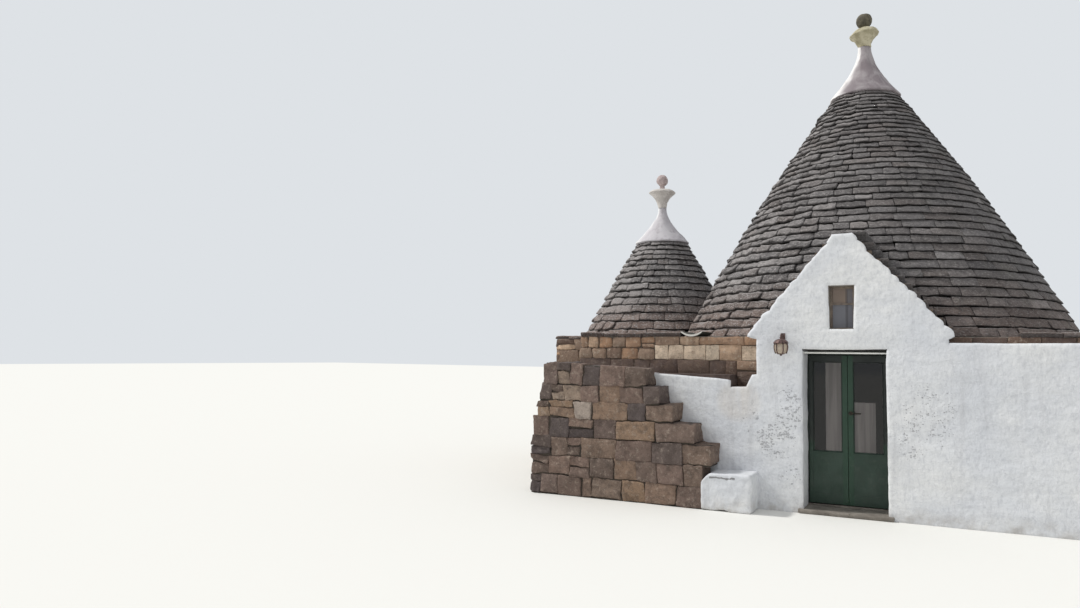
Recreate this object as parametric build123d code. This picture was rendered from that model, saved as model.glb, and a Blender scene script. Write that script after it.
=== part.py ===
from build123d import *
import math
import os

# A small trullo: a limewashed dry-stone block under two corbelled cones, with a gabled porch
# front, a glazed two-leaf door, a lantern and an outside stair to a flat terrace.
# Millimetres. The origin is on the ground under the tip of the main cone, +Y points to the back.

os.makedirs("parts", exist_ok=True)

# Walls and room
WALL_TOP = 2020.0
ROOM_HALF = 1600.0
FLOOR_TOP = 60.0
FACADE_PROJECTION = 350.0
PORCH_LEFT_X = -955.0
PORCH_RIGHT_X = 1049.0
SHOULDER_TOP = 1930.0
LOW_WALL_TOP = 1550.0
NOTCH_TOP = 1400.0
NOTCH_GAP = 60.0
NOTCH_LENGTH = 275.0
NOTCH_CHAMFER = 70.0

# Main cone
EAVE_RADIUS = 2630.0
CONE_TOP_RADIUS = 457.0
CONE_TOP = 5610.0
CONE_BULGE = 92.0
COURSES_PER_RING = 12
RING_NAMES = ("main_cone_lower", "main_cone_middle", "main_cone_upper")
CORNER_COUNT = 40
FOOT_GROWTH = 0.25
CLADDING_FOOT = 400.0
CLADDING_TOP = 237.0
CLADDING_CROWN = 210.0
SHELL_GAP = 3.0
VALLEY_GAP = 12.0
ENVELOPE_STEPS = 4
VAULT_APEX = 4700.0
VAULT_APEX_RADIUS = 120.0
VAULT_BULGE = 110.0

# Small cone over the alcove, behind a flat terrace
SMALL_Y = 157.0
SMALL_EAVE_RADIUS = 1300.0
SMALL_TOP_RADIUS = 414.0
SMALL_TOP = 3631.0
SMALL_BULGE = 14.0
SMALL_COURSES = 15
SMALL_CORNER_COUNT = 24
SMALL_CLADDING_TOP = 230.0
SMALL_CLADDING_CROWN = 180.0
TERRACE_REACH = 210.0
ALCOVE_HALF = 570.0
ALCOVE_APEX = 3050.0
ALCOVE_APEX_RADIUS = 60.0
ALCOVE_BULGE = 45.0
ARCH_WIDTH = 840.0
ARCH_SPRING = 1450.0

# Pinnacles
CAP_OVERHANG = 30.0
CAP_LIP = 18.0
CAP_FLARE = (0.40, 0.45)
CAP_KNEE = (1.14, 0.85)
CAP_HEIGHT = 790.0
NECK_RADIUS = 88.0
CUP_RADIUS = 204.0
CUP_HEIGHT = 190.0
CUP_DOME = 85.0
BALL_RADIUS = 114.0
BALL_STEM = 20.0
SMALL_CAP_HEIGHT = 609.0
SMALL_NECK_RADIUS = 69.0
SMALL_CUP_RADIUS = 214.0
SMALL_CUP_HEIGHT = 255.0
SMALL_CUP_DOME = 56.0
SMALL_BALL_RADIUS = 98.0
SMALL_BALL_STEM = 60.0
STEM_RADIUS = 42.0
BALL_FLAT = 12.0
CUP_LIP = 14.0
CUP_CROWN = 0.62
CUP_HOLLOW = (0.38, 0.62)

# Gable over the door
GABLE_FOOT_RIGHT = 1089.0
GABLE_FOOT_LEFT = 1045.0
GABLE_TOP_HALF = 134.0
GABLE_TOP = 3170.0
GABLE_COURSES = 12

# Doorway and door
DOOR_WIDTH = 923.0
DOOR_HEAD = 1850.0
DOOR_SETBACK = 350.0
PASSAGE_WIDTH = 1120.0
THRESHOLD_TOP = 50.0
THRESHOLD_NOSING = 45.0
JAMB_SHOW = 24.0
FRAME_HEAD = 45.0
LEAF_THICKNESS = 45.0
LEAF_GAP = 6.0
LEAF_FLOOR_GAP = 12.0
LEAF_STOP_GAP = 8.0
OUTER_STILE = 44.0
MEETING_STILE = 56.0
BOTTOM_RAIL_TOP = 190.0
LOCK_RAIL_Z = 600.0
LOCK_RAIL = 70.0
TOP_RAIL = 75.0
PANEL_THICKNESS = 37.0
GLASS_THICKNESS = 6.0
HINGE_HEIGHTS = (260.0, 950.0, 1600.0)
KNUCKLE_RADIUS = 13.0
KNUCKLE_HEIGHT = 36.0
PIN_RADIUS = 6.0
PIN_CLEARANCE = 1.2
SEAT_GAP = 0.3
KNUCKLE_STANDOFF = 1.0
HANDLE_Z = 1130.0
ROSE_RADIUS = 24.0
ROSE_THICKNESS = 6.0
SPINDLE_RADIUS = 7.0
SPINDLE_HOLE_RADIUS = 10.0
LEVER_STANDOFF = 38.0
LEVER_RADIUS = 8.0
LEVER_LENGTH = 115.0
TOP_BAR_RADIUS = 11.0
TOP_BAR_DROP = 22.0
TOP_BAR_SETBACK = 60.0

# Window in the gable
WINDOW_WIDTH = 270.0
WINDOW_SILL = 2090.0
WINDOW_HEIGHT = 500.0
WINDOW_X = -18.0
WINDOW_SETBACK = 120.0
WINDOW_FRAME = 26.0
WINDOW_FRAME_DEPTH = 40.0
WINDOW_TRANSOM = 16.0
WINDOW_LOWER_SHARE = 0.58
PANE_THICKNESS = 5.0

# Outside stair and step block
STAIR_DEPTH = 380.0
STAIR_LEFT_X = -3760.0
STAIR_BATTER = 200.0
STAIR_TOP_RISE = 70.0
STAIR_TOPS = (480.0, 725.0, 964.0, 1176.0, 1377.0, 1594.0)
STAIR_ENDS = (-1531.0, -1434.0, -1631.0, -1896.0, -2055.0, -2242.0)
STEP_BLOCK_LEFT = -1531.0
STEP_BLOCK_RIGHT = -950.0
STEP_BLOCK_DEPTH = 415.0
STEP_BLOCK_TOP = 430.0
STEP_BLOCK_ROUND = 60.0

# Lantern
LANTERN_X = -660.0
LANTERN_Z = 1975.0
LANTERN_REACH = 150.0
LANTERN_RADIUS = 76.0
LANTERN_FOOT_RADIUS = 50.0
LANTERN_HEIGHT = 118.0
LANTERN_ROOF = 62.0
LANTERN_HANGER = 50.0
LANTERN_WALL_PLATE = (50.0, 8.0, 150.0)
LANTERN_BAR = 8.0

# Gutter that drains the terrace over the wall top
GUTTER_X = -1850.0
GUTTER_WIDTH = 290.0
GUTTER_RISE = 62.0
GUTTER_WALL = 24.0
GUTTER_LENGTH = 520.0
GUTTER_SPOUT = 60.0

# Places that follow from the sizes above
BAND_Y = -EAVE_RADIUS
FACADE_Y = BAND_Y - FACADE_PROJECTION
BACK_Y = EAVE_RADIUS
DOOR_HALF = DOOR_WIDTH / 2
PASSAGE_HALF = PASSAGE_WIDTH / 2
DOOR_Y = FACADE_Y + DOOR_SETBACK
SMALL_X = -EAVE_RADIUS - ALCOVE_HALF
ALCOVE_FRONT = SMALL_Y - ALCOVE_HALF
ALCOVE_BACK = SMALL_Y + ALCOVE_HALF
ALCOVE_LEFT = SMALL_X - ALCOVE_HALF
ALCOVE_RIGHT = SMALL_X + ALCOVE_HALF
SMALL_LEFT_X = SMALL_X - SMALL_EAVE_RADIUS
SMALL_FRONT_Y = SMALL_Y - SMALL_EAVE_RADIUS
SMALL_BACK_Y = SMALL_Y + SMALL_EAVE_RADIUS
TERRACE_LEFT_X = SMALL_X - TERRACE_REACH
CORE_FOOT_RADIUS = EAVE_RADIUS - CLADDING_FOOT
CORE_TOP_RADIUS = CONE_TOP_RADIUS - CLADDING_TOP
CORE_TOP = CONE_TOP - CLADDING_CROWN
SMALL_CORE_FOOT_RADIUS = SMALL_EAVE_RADIUS - CLADDING_FOOT
SMALL_CORE_TOP_RADIUS = SMALL_TOP_RADIUS - SMALL_CLADDING_TOP
SMALL_CORE_TOP = SMALL_TOP - SMALL_CLADDING_CROWN


def save(name, shape):
    export_step(shape, "parts/" + name + ".step")


def block(x0, x1, y0, y1, z0, z1):
    """A plain block between two corners."""
    centre = ((x0 + x1) / 2, (y0 + y1) / 2, (z0 + z1) / 2)
    return Pos(*centre) * Box(x1 - x0, y1 - y0, z1 - z0)


def upright(points, z0, z1):
    """A prism on a plan outline given as X, Y points."""
    outline = make_face(Polyline(*points, close=True))
    return Pos(0, 0, z0) * extrude(outline, z1 - z0, dir=(0, 0, 1))


def profile_along_y(points, y0, y1):
    """A prism on an elevation outline given as X, Z points."""
    outline = make_face(Polyline(*[(x, y0, z) for x, z in points], close=True))
    return extrude(outline, y1 - y0, dir=(0, 1, 0))


def turned(edges):
    """A solid of revolution about Z, from edges drawn in X and Z."""
    return revolve(make_face(edges), Axis.Z)


def cone_radius(share, foot, top, bulge):
    """Outside radius of a cone, at a share of its height."""
    return foot + (top - foot) * share + bulge * 4 * share * (1 - share)


def course_share(number, courses):
    """Share of a cone's height below a course; the courses are thicker at the foot."""
    share = number / courses
    return share * (1 + FOOT_GROWTH * (1 - share))


def slab_courses(first, last, courses, foot, top, bulge, z1, corners):
    """A stack of stepped rings of flat slabs, each laid over the joints of the one below."""
    stack = None
    for number in range(first, last):
        share = course_share(number, courses)
        thickness = (course_share(number + 1, courses) - share) * (z1 - WALL_TOP)
        turn = (number % 2) * 180 / corners
        outline = RegularPolygon(cone_radius(share, foot, top, bulge), corners, rotation=turn)
        ring = Pos(0, 0, WALL_TOP + share * (z1 - WALL_TOP)) * extrude(outline, thickness)
        stack = ring if stack is None else stack + ring
    return stack


def core(foot, top, z1, gap=0.0):
    """The cone-shaped outside of a corbelled vault, from the wall top to z1."""
    base, tip = (foot + gap, 0, WALL_TOP), (top + gap, 0, z1)
    return turned(Polyline((0, 0, WALL_TOP), base, tip, (0, 0, z1), close=True))


def vault(foot, top, z1, inside, apex, apex_radius, bulge):
    """A corbelled vault: a pointed hollow inside a cone-shaped mass."""
    start, end = (inside, 0, WALL_TOP), (apex_radius, 0, apex)
    run, rise = apex_radius - inside, apex - WALL_TOP
    length = math.hypot(run, rise)
    middle = ((inside + apex_radius) / 2 + bulge * rise / length, 0,
              (WALL_TOP + apex) / 2 - bulge * run / length)
    soffit = ThreePointArc(start, middle, end)
    outside = Polyline(end, (0, 0, apex), (0, 0, z1), (top, 0, z1), (foot, 0, WALL_TOP), start)
    return turned(soffit + outside)


def main_courses(number):
    """One third of the main cone's slab courses."""
    first = number * COURSES_PER_RING
    courses = COURSES_PER_RING * len(RING_NAMES)
    return slab_courses(first, first + COURSES_PER_RING, courses, EAVE_RADIUS, CONE_TOP_RADIUS,
                        CONE_BULGE, CONE_TOP, CORNER_COUNT)


def main_envelope():
    """The smooth outside of the lower main cone, which the small cone's slabs stop against."""
    edge = [(EAVE_RADIUS + VALLEY_GAP, 0, WALL_TOP)]
    courses = COURSES_PER_RING * len(RING_NAMES)
    for step in range(ENVELOPE_STEPS + 1):
        number = COURSES_PER_RING * step / ENVELOPE_STEPS
        share = course_share(number, courses)
        radius = cone_radius(share, EAVE_RADIUS, CONE_TOP_RADIUS, CONE_BULGE)
        ledge = WALL_TOP + course_share(number + 1, courses) * (CONE_TOP - WALL_TOP)
        edge.append((radius + VALLEY_GAP, 0, ledge))
    return turned(Polyline((0, 0, WALL_TOP), *edge, (0, 0, edge[-1][2]), close=True))


def gable_side(foot):
    """One stepped edge of the gable, one step for each course of slabs."""
    rise = (GABLE_TOP - WALL_TOP) / GABLE_COURSES
    side = []
    for number in range(GABLE_COURSES):
        share = number / (GABLE_COURSES - 1)
        half = foot + (GABLE_TOP_HALF - foot) * share
        side.append((half, WALL_TOP + number * rise))
        side.append((half, WALL_TOP + (number + 1) * rise))
    return side


def gable_outline():
    left = [(-x, z) for x, z in reversed(gable_side(GABLE_FOOT_LEFT))]
    return gable_side(GABLE_FOOT_RIGHT) + left


def window_hole(y0, y1):
    left = WINDOW_X - WINDOW_WIDTH / 2
    return block(left, left + WINDOW_WIDTH, y0, y1, WINDOW_SILL, WINDOW_SILL + WINDOW_HEIGHT)


def gable_prism():
    return profile_along_y(gable_outline(), FACADE_Y, -ROOM_HALF)


def pinnacle(cap_radius, z0, cap_height, neck_radius, cup_radius, cup_height, dome, ball_radius,
             stem):
    """The cap, cup and ball that close a cone, drawn on its axis."""
    neck_z = z0 + cap_height
    rim_z = neck_z + cup_height
    top_z = rim_z + dome
    flare_width, flare_rise = CAP_FLARE
    knee_width, knee_rise = CAP_KNEE
    flare = ((cap_radius + neck_radius) * flare_width, 0, z0 + (neck_z - z0) * flare_rise)
    knee = (neck_radius * knee_width, 0, z0 + (neck_z - z0) * knee_rise)
    cap_edge = Spline((cap_radius, 0, z0 + CAP_LIP), flare, knee, (neck_radius, 0, neck_z))
    cap = turned(cap_edge + Polyline((neck_radius, 0, neck_z), (0, 0, neck_z), (0, 0, z0),
                                     (cap_radius, 0, z0), (cap_radius, 0, z0 + CAP_LIP)))
    hollow_width, hollow_rise = CUP_HOLLOW
    hollow = (neck_radius + (cup_radius - neck_radius) * hollow_width, 0,
              neck_z + (rim_z - neck_z) * hollow_rise)
    cup_edge = ThreePointArc((neck_radius, 0, neck_z), hollow, (cup_radius, 0, rim_z))
    cup = turned(cup_edge + Polyline((cup_radius, 0, rim_z), (cup_radius, 0, rim_z + CUP_LIP),
                                     (cup_radius * CUP_CROWN, 0, top_z), (0, 0, top_z),
                                     (0, 0, neck_z), (neck_radius, 0, neck_z)))
    crown = top_z + stem + 2 * ball_radius - BALL_FLAT
    ball = Pos(0, 0, top_z + stem + ball_radius) * Sphere(ball_radius)
    ball = ball + Pos(0, 0, top_z + (stem + BALL_FLAT) / 2) * Cylinder(STEM_RADIUS,
                                                                      stem + BALL_FLAT)
    size = 4 * ball_radius
    ball = ball & block(-size, size, -size, size, top_z, crown)
    return cap, cup, ball


# Ground floor walls
def walls():
    save("main_wall_right", block(ROOM_HALF, EAVE_RADIUS, -ROOM_HALF, BACK_Y, 0, WALL_TOP))
    save("main_wall_back", block(-ROOM_HALF, ROOM_HALF, ROOM_HALF, BACK_Y, 0, WALL_TOP))
    save("main_wall_left", block(-EAVE_RADIUS, -ROOM_HALF, ALCOVE_BACK, BACK_Y, 0, WALL_TOP))
    save("front_wall_right", block(PORCH_RIGHT_X, EAVE_RADIUS, BAND_Y, -ROOM_HALF, 0, WALL_TOP))
    save("front_wall_left", block(-ROOM_HALF, PORCH_LEFT_X, BAND_Y, -ROOM_HALF, 0, WALL_TOP))
    terrace = [(SMALL_LEFT_X, SMALL_FRONT_Y), (TERRACE_LEFT_X, SMALL_FRONT_Y),
               (TERRACE_LEFT_X, BAND_Y), (-ROOM_HALF, BAND_Y), (-ROOM_HALF, ALCOVE_FRONT),
               (SMALL_LEFT_X, ALCOVE_FRONT)]
    save("small_wall_front", upright(terrace, 0, WALL_TOP))
    save("small_wall_left",
         block(SMALL_LEFT_X, ALCOVE_LEFT, ALCOVE_FRONT, ALCOVE_BACK, 0, WALL_TOP))
    save("small_wall_back",
         block(SMALL_LEFT_X, -EAVE_RADIUS, ALCOVE_BACK, SMALL_BACK_Y, 0, WALL_TOP))
    save("shoulder_wall_right",
         block(PORCH_RIGHT_X, EAVE_RADIUS, FACADE_Y, BAND_Y, 0, SHOULDER_TOP))


def low_wall():
    """The low limewashed wall in front of the tan courses, lower beside the porch."""
    notch_right = PORCH_LEFT_X - NOTCH_GAP
    notch_left = notch_right - NOTCH_LENGTH
    outline = [(TERRACE_LEFT_X, 0), (PORCH_LEFT_X, 0), (PORCH_LEFT_X, LOW_WALL_TOP),
               (notch_right, LOW_WALL_TOP), (notch_right - NOTCH_CHAMFER, NOTCH_TOP),
               (notch_left, NOTCH_TOP), (notch_left, LOW_WALL_TOP),
               (TERRACE_LEFT_X, LOW_WALL_TOP)]
    save("low_white_wall", profile_along_y(outline, FACADE_Y, BAND_Y))


def alcove_arch():
    """The masonry between room and alcove, with a round arch through it."""
    mass = block(ALCOVE_RIGHT, -ROOM_HALF, ALCOVE_FRONT, ALCOVE_BACK, 0, WALL_TOP)
    radius = ARCH_WIDTH / 2
    length = -ROOM_HALF - ALCOVE_RIGHT
    middle_x = (ALCOVE_RIGHT - ROOM_HALF) / 2
    tunnel = block(ALCOVE_RIGHT, -ROOM_HALF, SMALL_Y - radius, SMALL_Y + radius, 0, ARCH_SPRING)
    barrel = Pos(middle_x, SMALL_Y, ARCH_SPRING) * Rot(0, 90, 0) * Cylinder(radius, length)
    save("alcove_arch", mass - tunnel - barrel)


def porch_piers():
    """The two thick sides of the doorway, wider apart behind the door frame."""
    for name, side, outer in (("door_pier_left", -1, PORCH_LEFT_X),
                              ("door_pier_right", 1, PORCH_RIGHT_X)):
        inner, passage = side * DOOR_HALF, side * PASSAGE_HALF
        points = [(inner, FACADE_Y), (outer, FACADE_Y), (outer, -ROOM_HALF),
                  (passage, -ROOM_HALF), (passage, DOOR_Y), (inner, DOOR_Y)]
        save(name, upright(points, 0, WALL_TOP))
    save("door_lintel", block(-DOOR_HALF, DOOR_HALF, FACADE_Y, DOOR_Y, DOOR_HEAD, WALL_TOP)
         + block(-PASSAGE_HALF, PASSAGE_HALF, DOOR_Y, -ROOM_HALF, DOOR_HEAD, WALL_TOP))


def floors():
    save("room_floor",
         block(-ROOM_HALF, ROOM_HALF, -ROOM_HALF, ROOM_HALF, 0, FLOOR_TOP)
         + block(-PASSAGE_HALF, PASSAGE_HALF, DOOR_Y, -ROOM_HALF, 0, FLOOR_TOP))
    radius = ARCH_WIDTH / 2
    arch_floor = block(ALCOVE_RIGHT, -ROOM_HALF, SMALL_Y - radius, SMALL_Y + radius, 0, FLOOR_TOP)
    save("alcove_floor",
         block(ALCOVE_LEFT, ALCOVE_RIGHT, ALCOVE_FRONT, ALCOVE_BACK, 0, FLOOR_TOP) + arch_floor)
    save("door_threshold",
         block(-DOOR_HALF, DOOR_HALF, FACADE_Y, DOOR_Y, 0, THRESHOLD_TOP)
         + block(-DOOR_HALF - THRESHOLD_NOSING, DOOR_HALF + THRESHOLD_NOSING,
                 FACADE_Y - THRESHOLD_NOSING, FACADE_Y, 0, THRESHOLD_TOP))


# Roofs
def main_roof():
    shell = vault(CORE_FOOT_RADIUS, CORE_TOP_RADIUS, CORE_TOP, ROOM_HALF,
                  VAULT_APEX, VAULT_APEX_RADIUS, VAULT_BULGE)
    save("main_vault", shell - window_hole(FACADE_Y, 0))
    hollow = core(CORE_FOOT_RADIUS, CORE_TOP_RADIUS, CORE_TOP, SHELL_GAP)
    small_core = Pos(SMALL_X, SMALL_Y, 0) * core(SMALL_CORE_FOOT_RADIUS, SMALL_CORE_TOP_RADIUS,
                                                 SMALL_CORE_TOP, SHELL_GAP)
    for number, name in enumerate(RING_NAMES):
        ring = main_courses(number) - hollow
        if number == 0:
            ring = ring - gable_prism() - small_core
        save(name, ring)


def gable():
    hollow = core(CORE_FOOT_RADIUS, CORE_TOP_RADIUS, CORE_TOP, SHELL_GAP)
    save("gable_head", gable_prism() - hollow - window_hole(FACADE_Y, 0))


def small_roof():
    place = Pos(SMALL_X, SMALL_Y, 0)
    shell = vault(SMALL_CORE_FOOT_RADIUS, SMALL_CORE_TOP_RADIUS, SMALL_CORE_TOP, ALCOVE_HALF,
                  ALCOVE_APEX, ALCOVE_APEX_RADIUS, ALCOVE_BULGE)
    save("small_vault", place * shell)
    hollow = core(SMALL_CORE_FOOT_RADIUS, SMALL_CORE_TOP_RADIUS, SMALL_CORE_TOP, SHELL_GAP)
    ring = slab_courses(0, SMALL_COURSES, SMALL_COURSES, SMALL_EAVE_RADIUS, SMALL_TOP_RADIUS,
                        SMALL_BULGE, SMALL_TOP, SMALL_CORNER_COUNT) - hollow
    save("small_cone", place * ring - main_envelope())


def pinnacles():
    cap, cup, ball = pinnacle(CONE_TOP_RADIUS + CAP_OVERHANG, CONE_TOP, CAP_HEIGHT, NECK_RADIUS,
                              CUP_RADIUS, CUP_HEIGHT, CUP_DOME, BALL_RADIUS, BALL_STEM)
    save("main_cap", cap)
    save("main_cup", cup)
    save("main_ball", ball)
    cap, cup, ball = pinnacle(SMALL_TOP_RADIUS + CAP_OVERHANG, SMALL_TOP, SMALL_CAP_HEIGHT,
                              SMALL_NECK_RADIUS, SMALL_CUP_RADIUS, SMALL_CUP_HEIGHT,
                              SMALL_CUP_DOME, SMALL_BALL_RADIUS, SMALL_BALL_STEM)
    place = Pos(SMALL_X, SMALL_Y, 0)
    save("small_cap", place * cap)
    save("small_cup", place * cup)
    save("small_ball", place * ball)


# Stair and step block
def stair_left(z):
    """Left end of the stair, which leans back more the higher it gets."""
    return STAIR_LEFT_X + STAIR_BATTER * (z / STAIR_TOPS[-1]) ** 2


def stair():
    """Long courses of big blocks, each shorter than the one under it."""
    front = FACADE_Y - STAIR_DEPTH
    bottom = 0.0
    for number, (top, end) in enumerate(zip(STAIR_TOPS, STAIR_ENDS), start=1):
        rise = STAIR_TOP_RISE if top == STAIR_TOPS[-1] else 0.0
        outline = [(stair_left(bottom), bottom), (end, bottom), (end, top),
                   (stair_left(top), top + rise)]
        save("stair_course_%d" % number, profile_along_y(outline, front, FACADE_Y))
        bottom = top


def step_block():
    mass = block(STEP_BLOCK_LEFT, STEP_BLOCK_RIGHT, FACADE_Y - STEP_BLOCK_DEPTH, FACADE_Y,
                 0, STEP_BLOCK_TOP)
    front_top = mass.edges().filter_by(Axis.X).group_by(Axis.Z)[-1].sort_by(Axis.Y)[0]
    right_top = mass.edges().filter_by(Axis.Y).group_by(Axis.Z)[-1].sort_by(Axis.X)[-1]
    save("step_block", fillet([front_top, right_top], STEP_BLOCK_ROUND))


# Door
def leaf_places():
    """For each leaf: side, hinge edge, meeting edge and hinge axis."""
    edge = DOOR_HALF - JAMB_SHOW - LEAF_GAP
    return (("left", -1, -edge, -LEAF_GAP / 2), ("right", 1, edge, LEAF_GAP / 2))


def leaf_faces():
    """Outer and inner face of a closed leaf."""
    outer = DOOR_Y + LEAF_STOP_GAP
    return outer, outer + LEAF_THICKNESS


def hinge_axis(side):
    """Plan position of a hinge pin, in the gap beside the leaf and proud of its inner face."""
    edge = DOOR_HALF - JAMB_SHOW - LEAF_GAP / 2
    return side * edge, leaf_faces()[1] + KNUCKLE_RADIUS + KNUCKLE_STANDOFF


def door_frame():
    """Two jambs and a head in the rebate behind the outer reveal."""
    head_low = DOOR_HEAD - FRAME_HEAD
    inner = DOOR_HALF - JAMB_SHOW
    back = leaf_faces()[1]
    frame = block(-PASSAGE_HALF, -inner, DOOR_Y, back, FLOOR_TOP, DOOR_HEAD)
    frame = frame + block(inner, PASSAGE_HALF, DOOR_Y, back, FLOOR_TOP, DOOR_HEAD)
    frame = frame + block(-inner, inner, DOOR_Y, back, head_low, DOOR_HEAD)
    save("door_frame", frame)
    bar_z = DOOR_HEAD - TOP_BAR_DROP
    bar = Pos(0, FACADE_Y + TOP_BAR_SETBACK, bar_z) * Rot(0, 90, 0)
    save("door_top_bar", bar * Cylinder(TOP_BAR_RADIUS, DOOR_WIDTH))


def hinges():
    """Fixed knuckles with their pins, each on a plate on the back of the jamb."""
    back = leaf_faces()[1]
    pieces = []
    for side in (-1, 1):
        x, y = hinge_axis(side)
        for z in HINGE_HEIGHTS:
            knuckle = Pos(x, y, z) * Cylinder(KNUCKLE_RADIUS, KNUCKLE_HEIGHT)
            pin = Pos(x, y, z + KNUCKLE_HEIGHT) * Cylinder(PIN_RADIUS, KNUCKLE_HEIGHT)
            far = x + side * (KNUCKLE_RADIUS + JAMB_SHOW)
            plate = block(min(x, far), max(x, far), back, y + KNUCKLE_RADIUS,
                          z - KNUCKLE_HEIGHT / 2, z + KNUCKLE_HEIGHT / 2)
            pieces.append(knuckle + pin + plate)
    save("door_hinges", Compound(children=pieces))


def leaf(name, side, hinge_edge, meeting_edge):
    """A framed leaf: a panel below the lock rail and glass above it."""
    outer, inner = leaf_faces()
    x0, x1 = min(hinge_edge, meeting_edge), max(hinge_edge, meeting_edge)
    z0 = FLOOR_TOP + LEAF_FLOOR_GAP
    z1 = DOOR_HEAD - FRAME_HEAD - LEAF_GAP
    rail_high = LOCK_RAIL_Z + LOCK_RAIL
    glass_high = z1 - TOP_RAIL
    body = block(x0, x1, outer, inner, z0, z1)
    widths = (OUTER_STILE, MEETING_STILE) if side < 0 else (MEETING_STILE, OUTER_STILE)
    left, right = x0 + widths[0], x1 - widths[1]
    body = body - block(left, right, outer, inner, rail_high, glass_high)
    recess = (LEAF_THICKNESS - PANEL_THICKNESS) / 2
    for y0 in (outer, inner - recess):
        body = body - block(left, right, y0, y0 + recess, BOTTOM_RAIL_TOP, LOCK_RAIL_Z)
    x, y = hinge_axis(side)
    for z in HINGE_HEIGHTS:
        middle = z + KNUCKLE_HEIGHT
        strap_end = x - side * (KNUCKLE_RADIUS + OUTER_STILE / 2)
        strap = block(min(x, strap_end), max(x, strap_end), inner, y,
                      middle - KNUCKLE_HEIGHT / 2 + SEAT_GAP, middle + KNUCKLE_HEIGHT / 2)
        ring = Pos(x, y, middle + SEAT_GAP / 2) * Cylinder(
            KNUCKLE_RADIUS, KNUCKLE_HEIGHT - SEAT_GAP)
        hole = Pos(x, y, middle) * Cylinder(PIN_RADIUS + PIN_CLEARANCE, 2 * KNUCKLE_HEIGHT)
        body = body + strap + ring - hole
    if side > 0:
        spindle = Pos(handle_x(), (outer + inner) / 2, HANDLE_Z) * Rot(90, 0, 0)
        body = body - spindle * Cylinder(SPINDLE_HOLE_RADIUS, 2 * LEAF_THICKNESS)
    save("door_leaf_" + name, body)
    middle_y = (outer + inner) / 2
    save("door_glass_" + name, block(left, right, middle_y - GLASS_THICKNESS / 2,
                                     middle_y + GLASS_THICKNESS / 2, rail_high, glass_high))


def handle_x():
    return LEAF_GAP / 2 + MEETING_STILE / 2


def handle():
    """A lever on each face of the right leaf, on one spindle."""
    outer, inner = leaf_faces()
    x = handle_x()
    middle_y = (outer + inner) / 2
    length = LEAF_THICKNESS + 2 * LEVER_STANDOFF
    handle_shape = Pos(x, middle_y, HANDLE_Z) * Rot(90, 0, 0) * Cylinder(SPINDLE_RADIUS, length)
    for y in (outer - LEVER_STANDOFF, inner + LEVER_STANDOFF):
        rod = Pos(x + LEVER_LENGTH / 2, y, HANDLE_Z) * Rot(0, 90, 0)
        handle_shape = handle_shape + rod * Cylinder(LEVER_RADIUS, LEVER_LENGTH)
        handle_shape = handle_shape + Pos(x, y, HANDLE_Z) * Sphere(LEVER_RADIUS)
    save("door_lever", handle_shape)
    roses = []
    for y in (outer - ROSE_THICKNESS / 2, inner + ROSE_THICKNESS / 2):
        place = Pos(x, y, HANDLE_Z) * Rot(90, 0, 0)
        roses.append(place * (Cylinder(ROSE_RADIUS, ROSE_THICKNESS)
                              - Cylinder(SPINDLE_RADIUS + SEAT_GAP, ROSE_THICKNESS)))
    save("door_lever_roses", Compound(children=roses))


# Window
def window():
    y0 = FACADE_Y + WINDOW_SETBACK
    y1 = y0 + WINDOW_FRAME_DEPTH
    left, right = WINDOW_X - WINDOW_WIDTH / 2, WINDOW_X + WINDOW_WIDTH / 2
    low, high = WINDOW_SILL, WINDOW_SILL + WINDOW_HEIGHT
    bar_z = low + WINDOW_HEIGHT * WINDOW_LOWER_SHARE
    frame = block(left, right, y0, y1, low, high)
    frame = frame - block(left + WINDOW_FRAME, right - WINDOW_FRAME, y0, y1,
                          low + WINDOW_FRAME, bar_z)
    frame = frame - block(left + WINDOW_FRAME, right - WINDOW_FRAME, y0, y1,
                          bar_z + WINDOW_TRANSOM, high - WINDOW_FRAME)
    save("window_frame", frame)
    pane_y = (y0 + y1) / 2
    panes = [block(left + WINDOW_FRAME, right - WINDOW_FRAME, pane_y - PANE_THICKNESS / 2,
                   pane_y + PANE_THICKNESS / 2, z0, z1)
             for z0, z1 in ((low + WINDOW_FRAME, bar_z),
                            (bar_z + WINDOW_TRANSOM, high - WINDOW_FRAME))]
    save("window_glass", Compound(children=panes))


# Lantern
def lantern():
    """A wall lantern: plate, arm, hanger and roof of iron, with a closed glass body."""
    width, depth, height = LANTERN_WALL_PLATE
    plate = block(LANTERN_X - width / 2, LANTERN_X + width / 2, FACADE_Y - depth, FACADE_Y,
                  LANTERN_Z - height / 2, LANTERN_Z + height / 2)
    arm_z = LANTERN_Z + height / 2 - LANTERN_BAR
    arm_y = FACADE_Y - LANTERN_REACH
    arm = block(LANTERN_X - LANTERN_BAR / 2, LANTERN_X + LANTERN_BAR / 2,
                arm_y - LANTERN_BAR / 2, FACADE_Y - depth, arm_z, arm_z + LANTERN_BAR)
    roof_top = arm_z - LANTERN_HANGER
    hanger = Pos(LANTERN_X, arm_y, arm_z - LANTERN_HANGER / 2) * Cylinder(
        LANTERN_BAR / 2, LANTERN_HANGER + LANTERN_BAR)
    roof = Pos(LANTERN_X, arm_y, roof_top - LANTERN_ROOF / 2) * Cone(
        LANTERN_RADIUS + LANTERN_BAR, LANTERN_BAR, LANTERN_ROOF)
    glass_top = roof_top - LANTERN_ROOF
    save("lantern_glass", Pos(LANTERN_X, arm_y, glass_top - LANTERN_HEIGHT / 2) * Cone(
        LANTERN_FOOT_RADIUS, LANTERN_RADIUS, LANTERN_HEIGHT))
    foot = Pos(LANTERN_X, arm_y, glass_top - LANTERN_HEIGHT - LANTERN_BAR) * Cylinder(
        LANTERN_FOOT_RADIUS, 2 * LANTERN_BAR)
    save("lantern_bracket", Compound(children=[plate + arm + hanger + roof, foot]))


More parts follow.
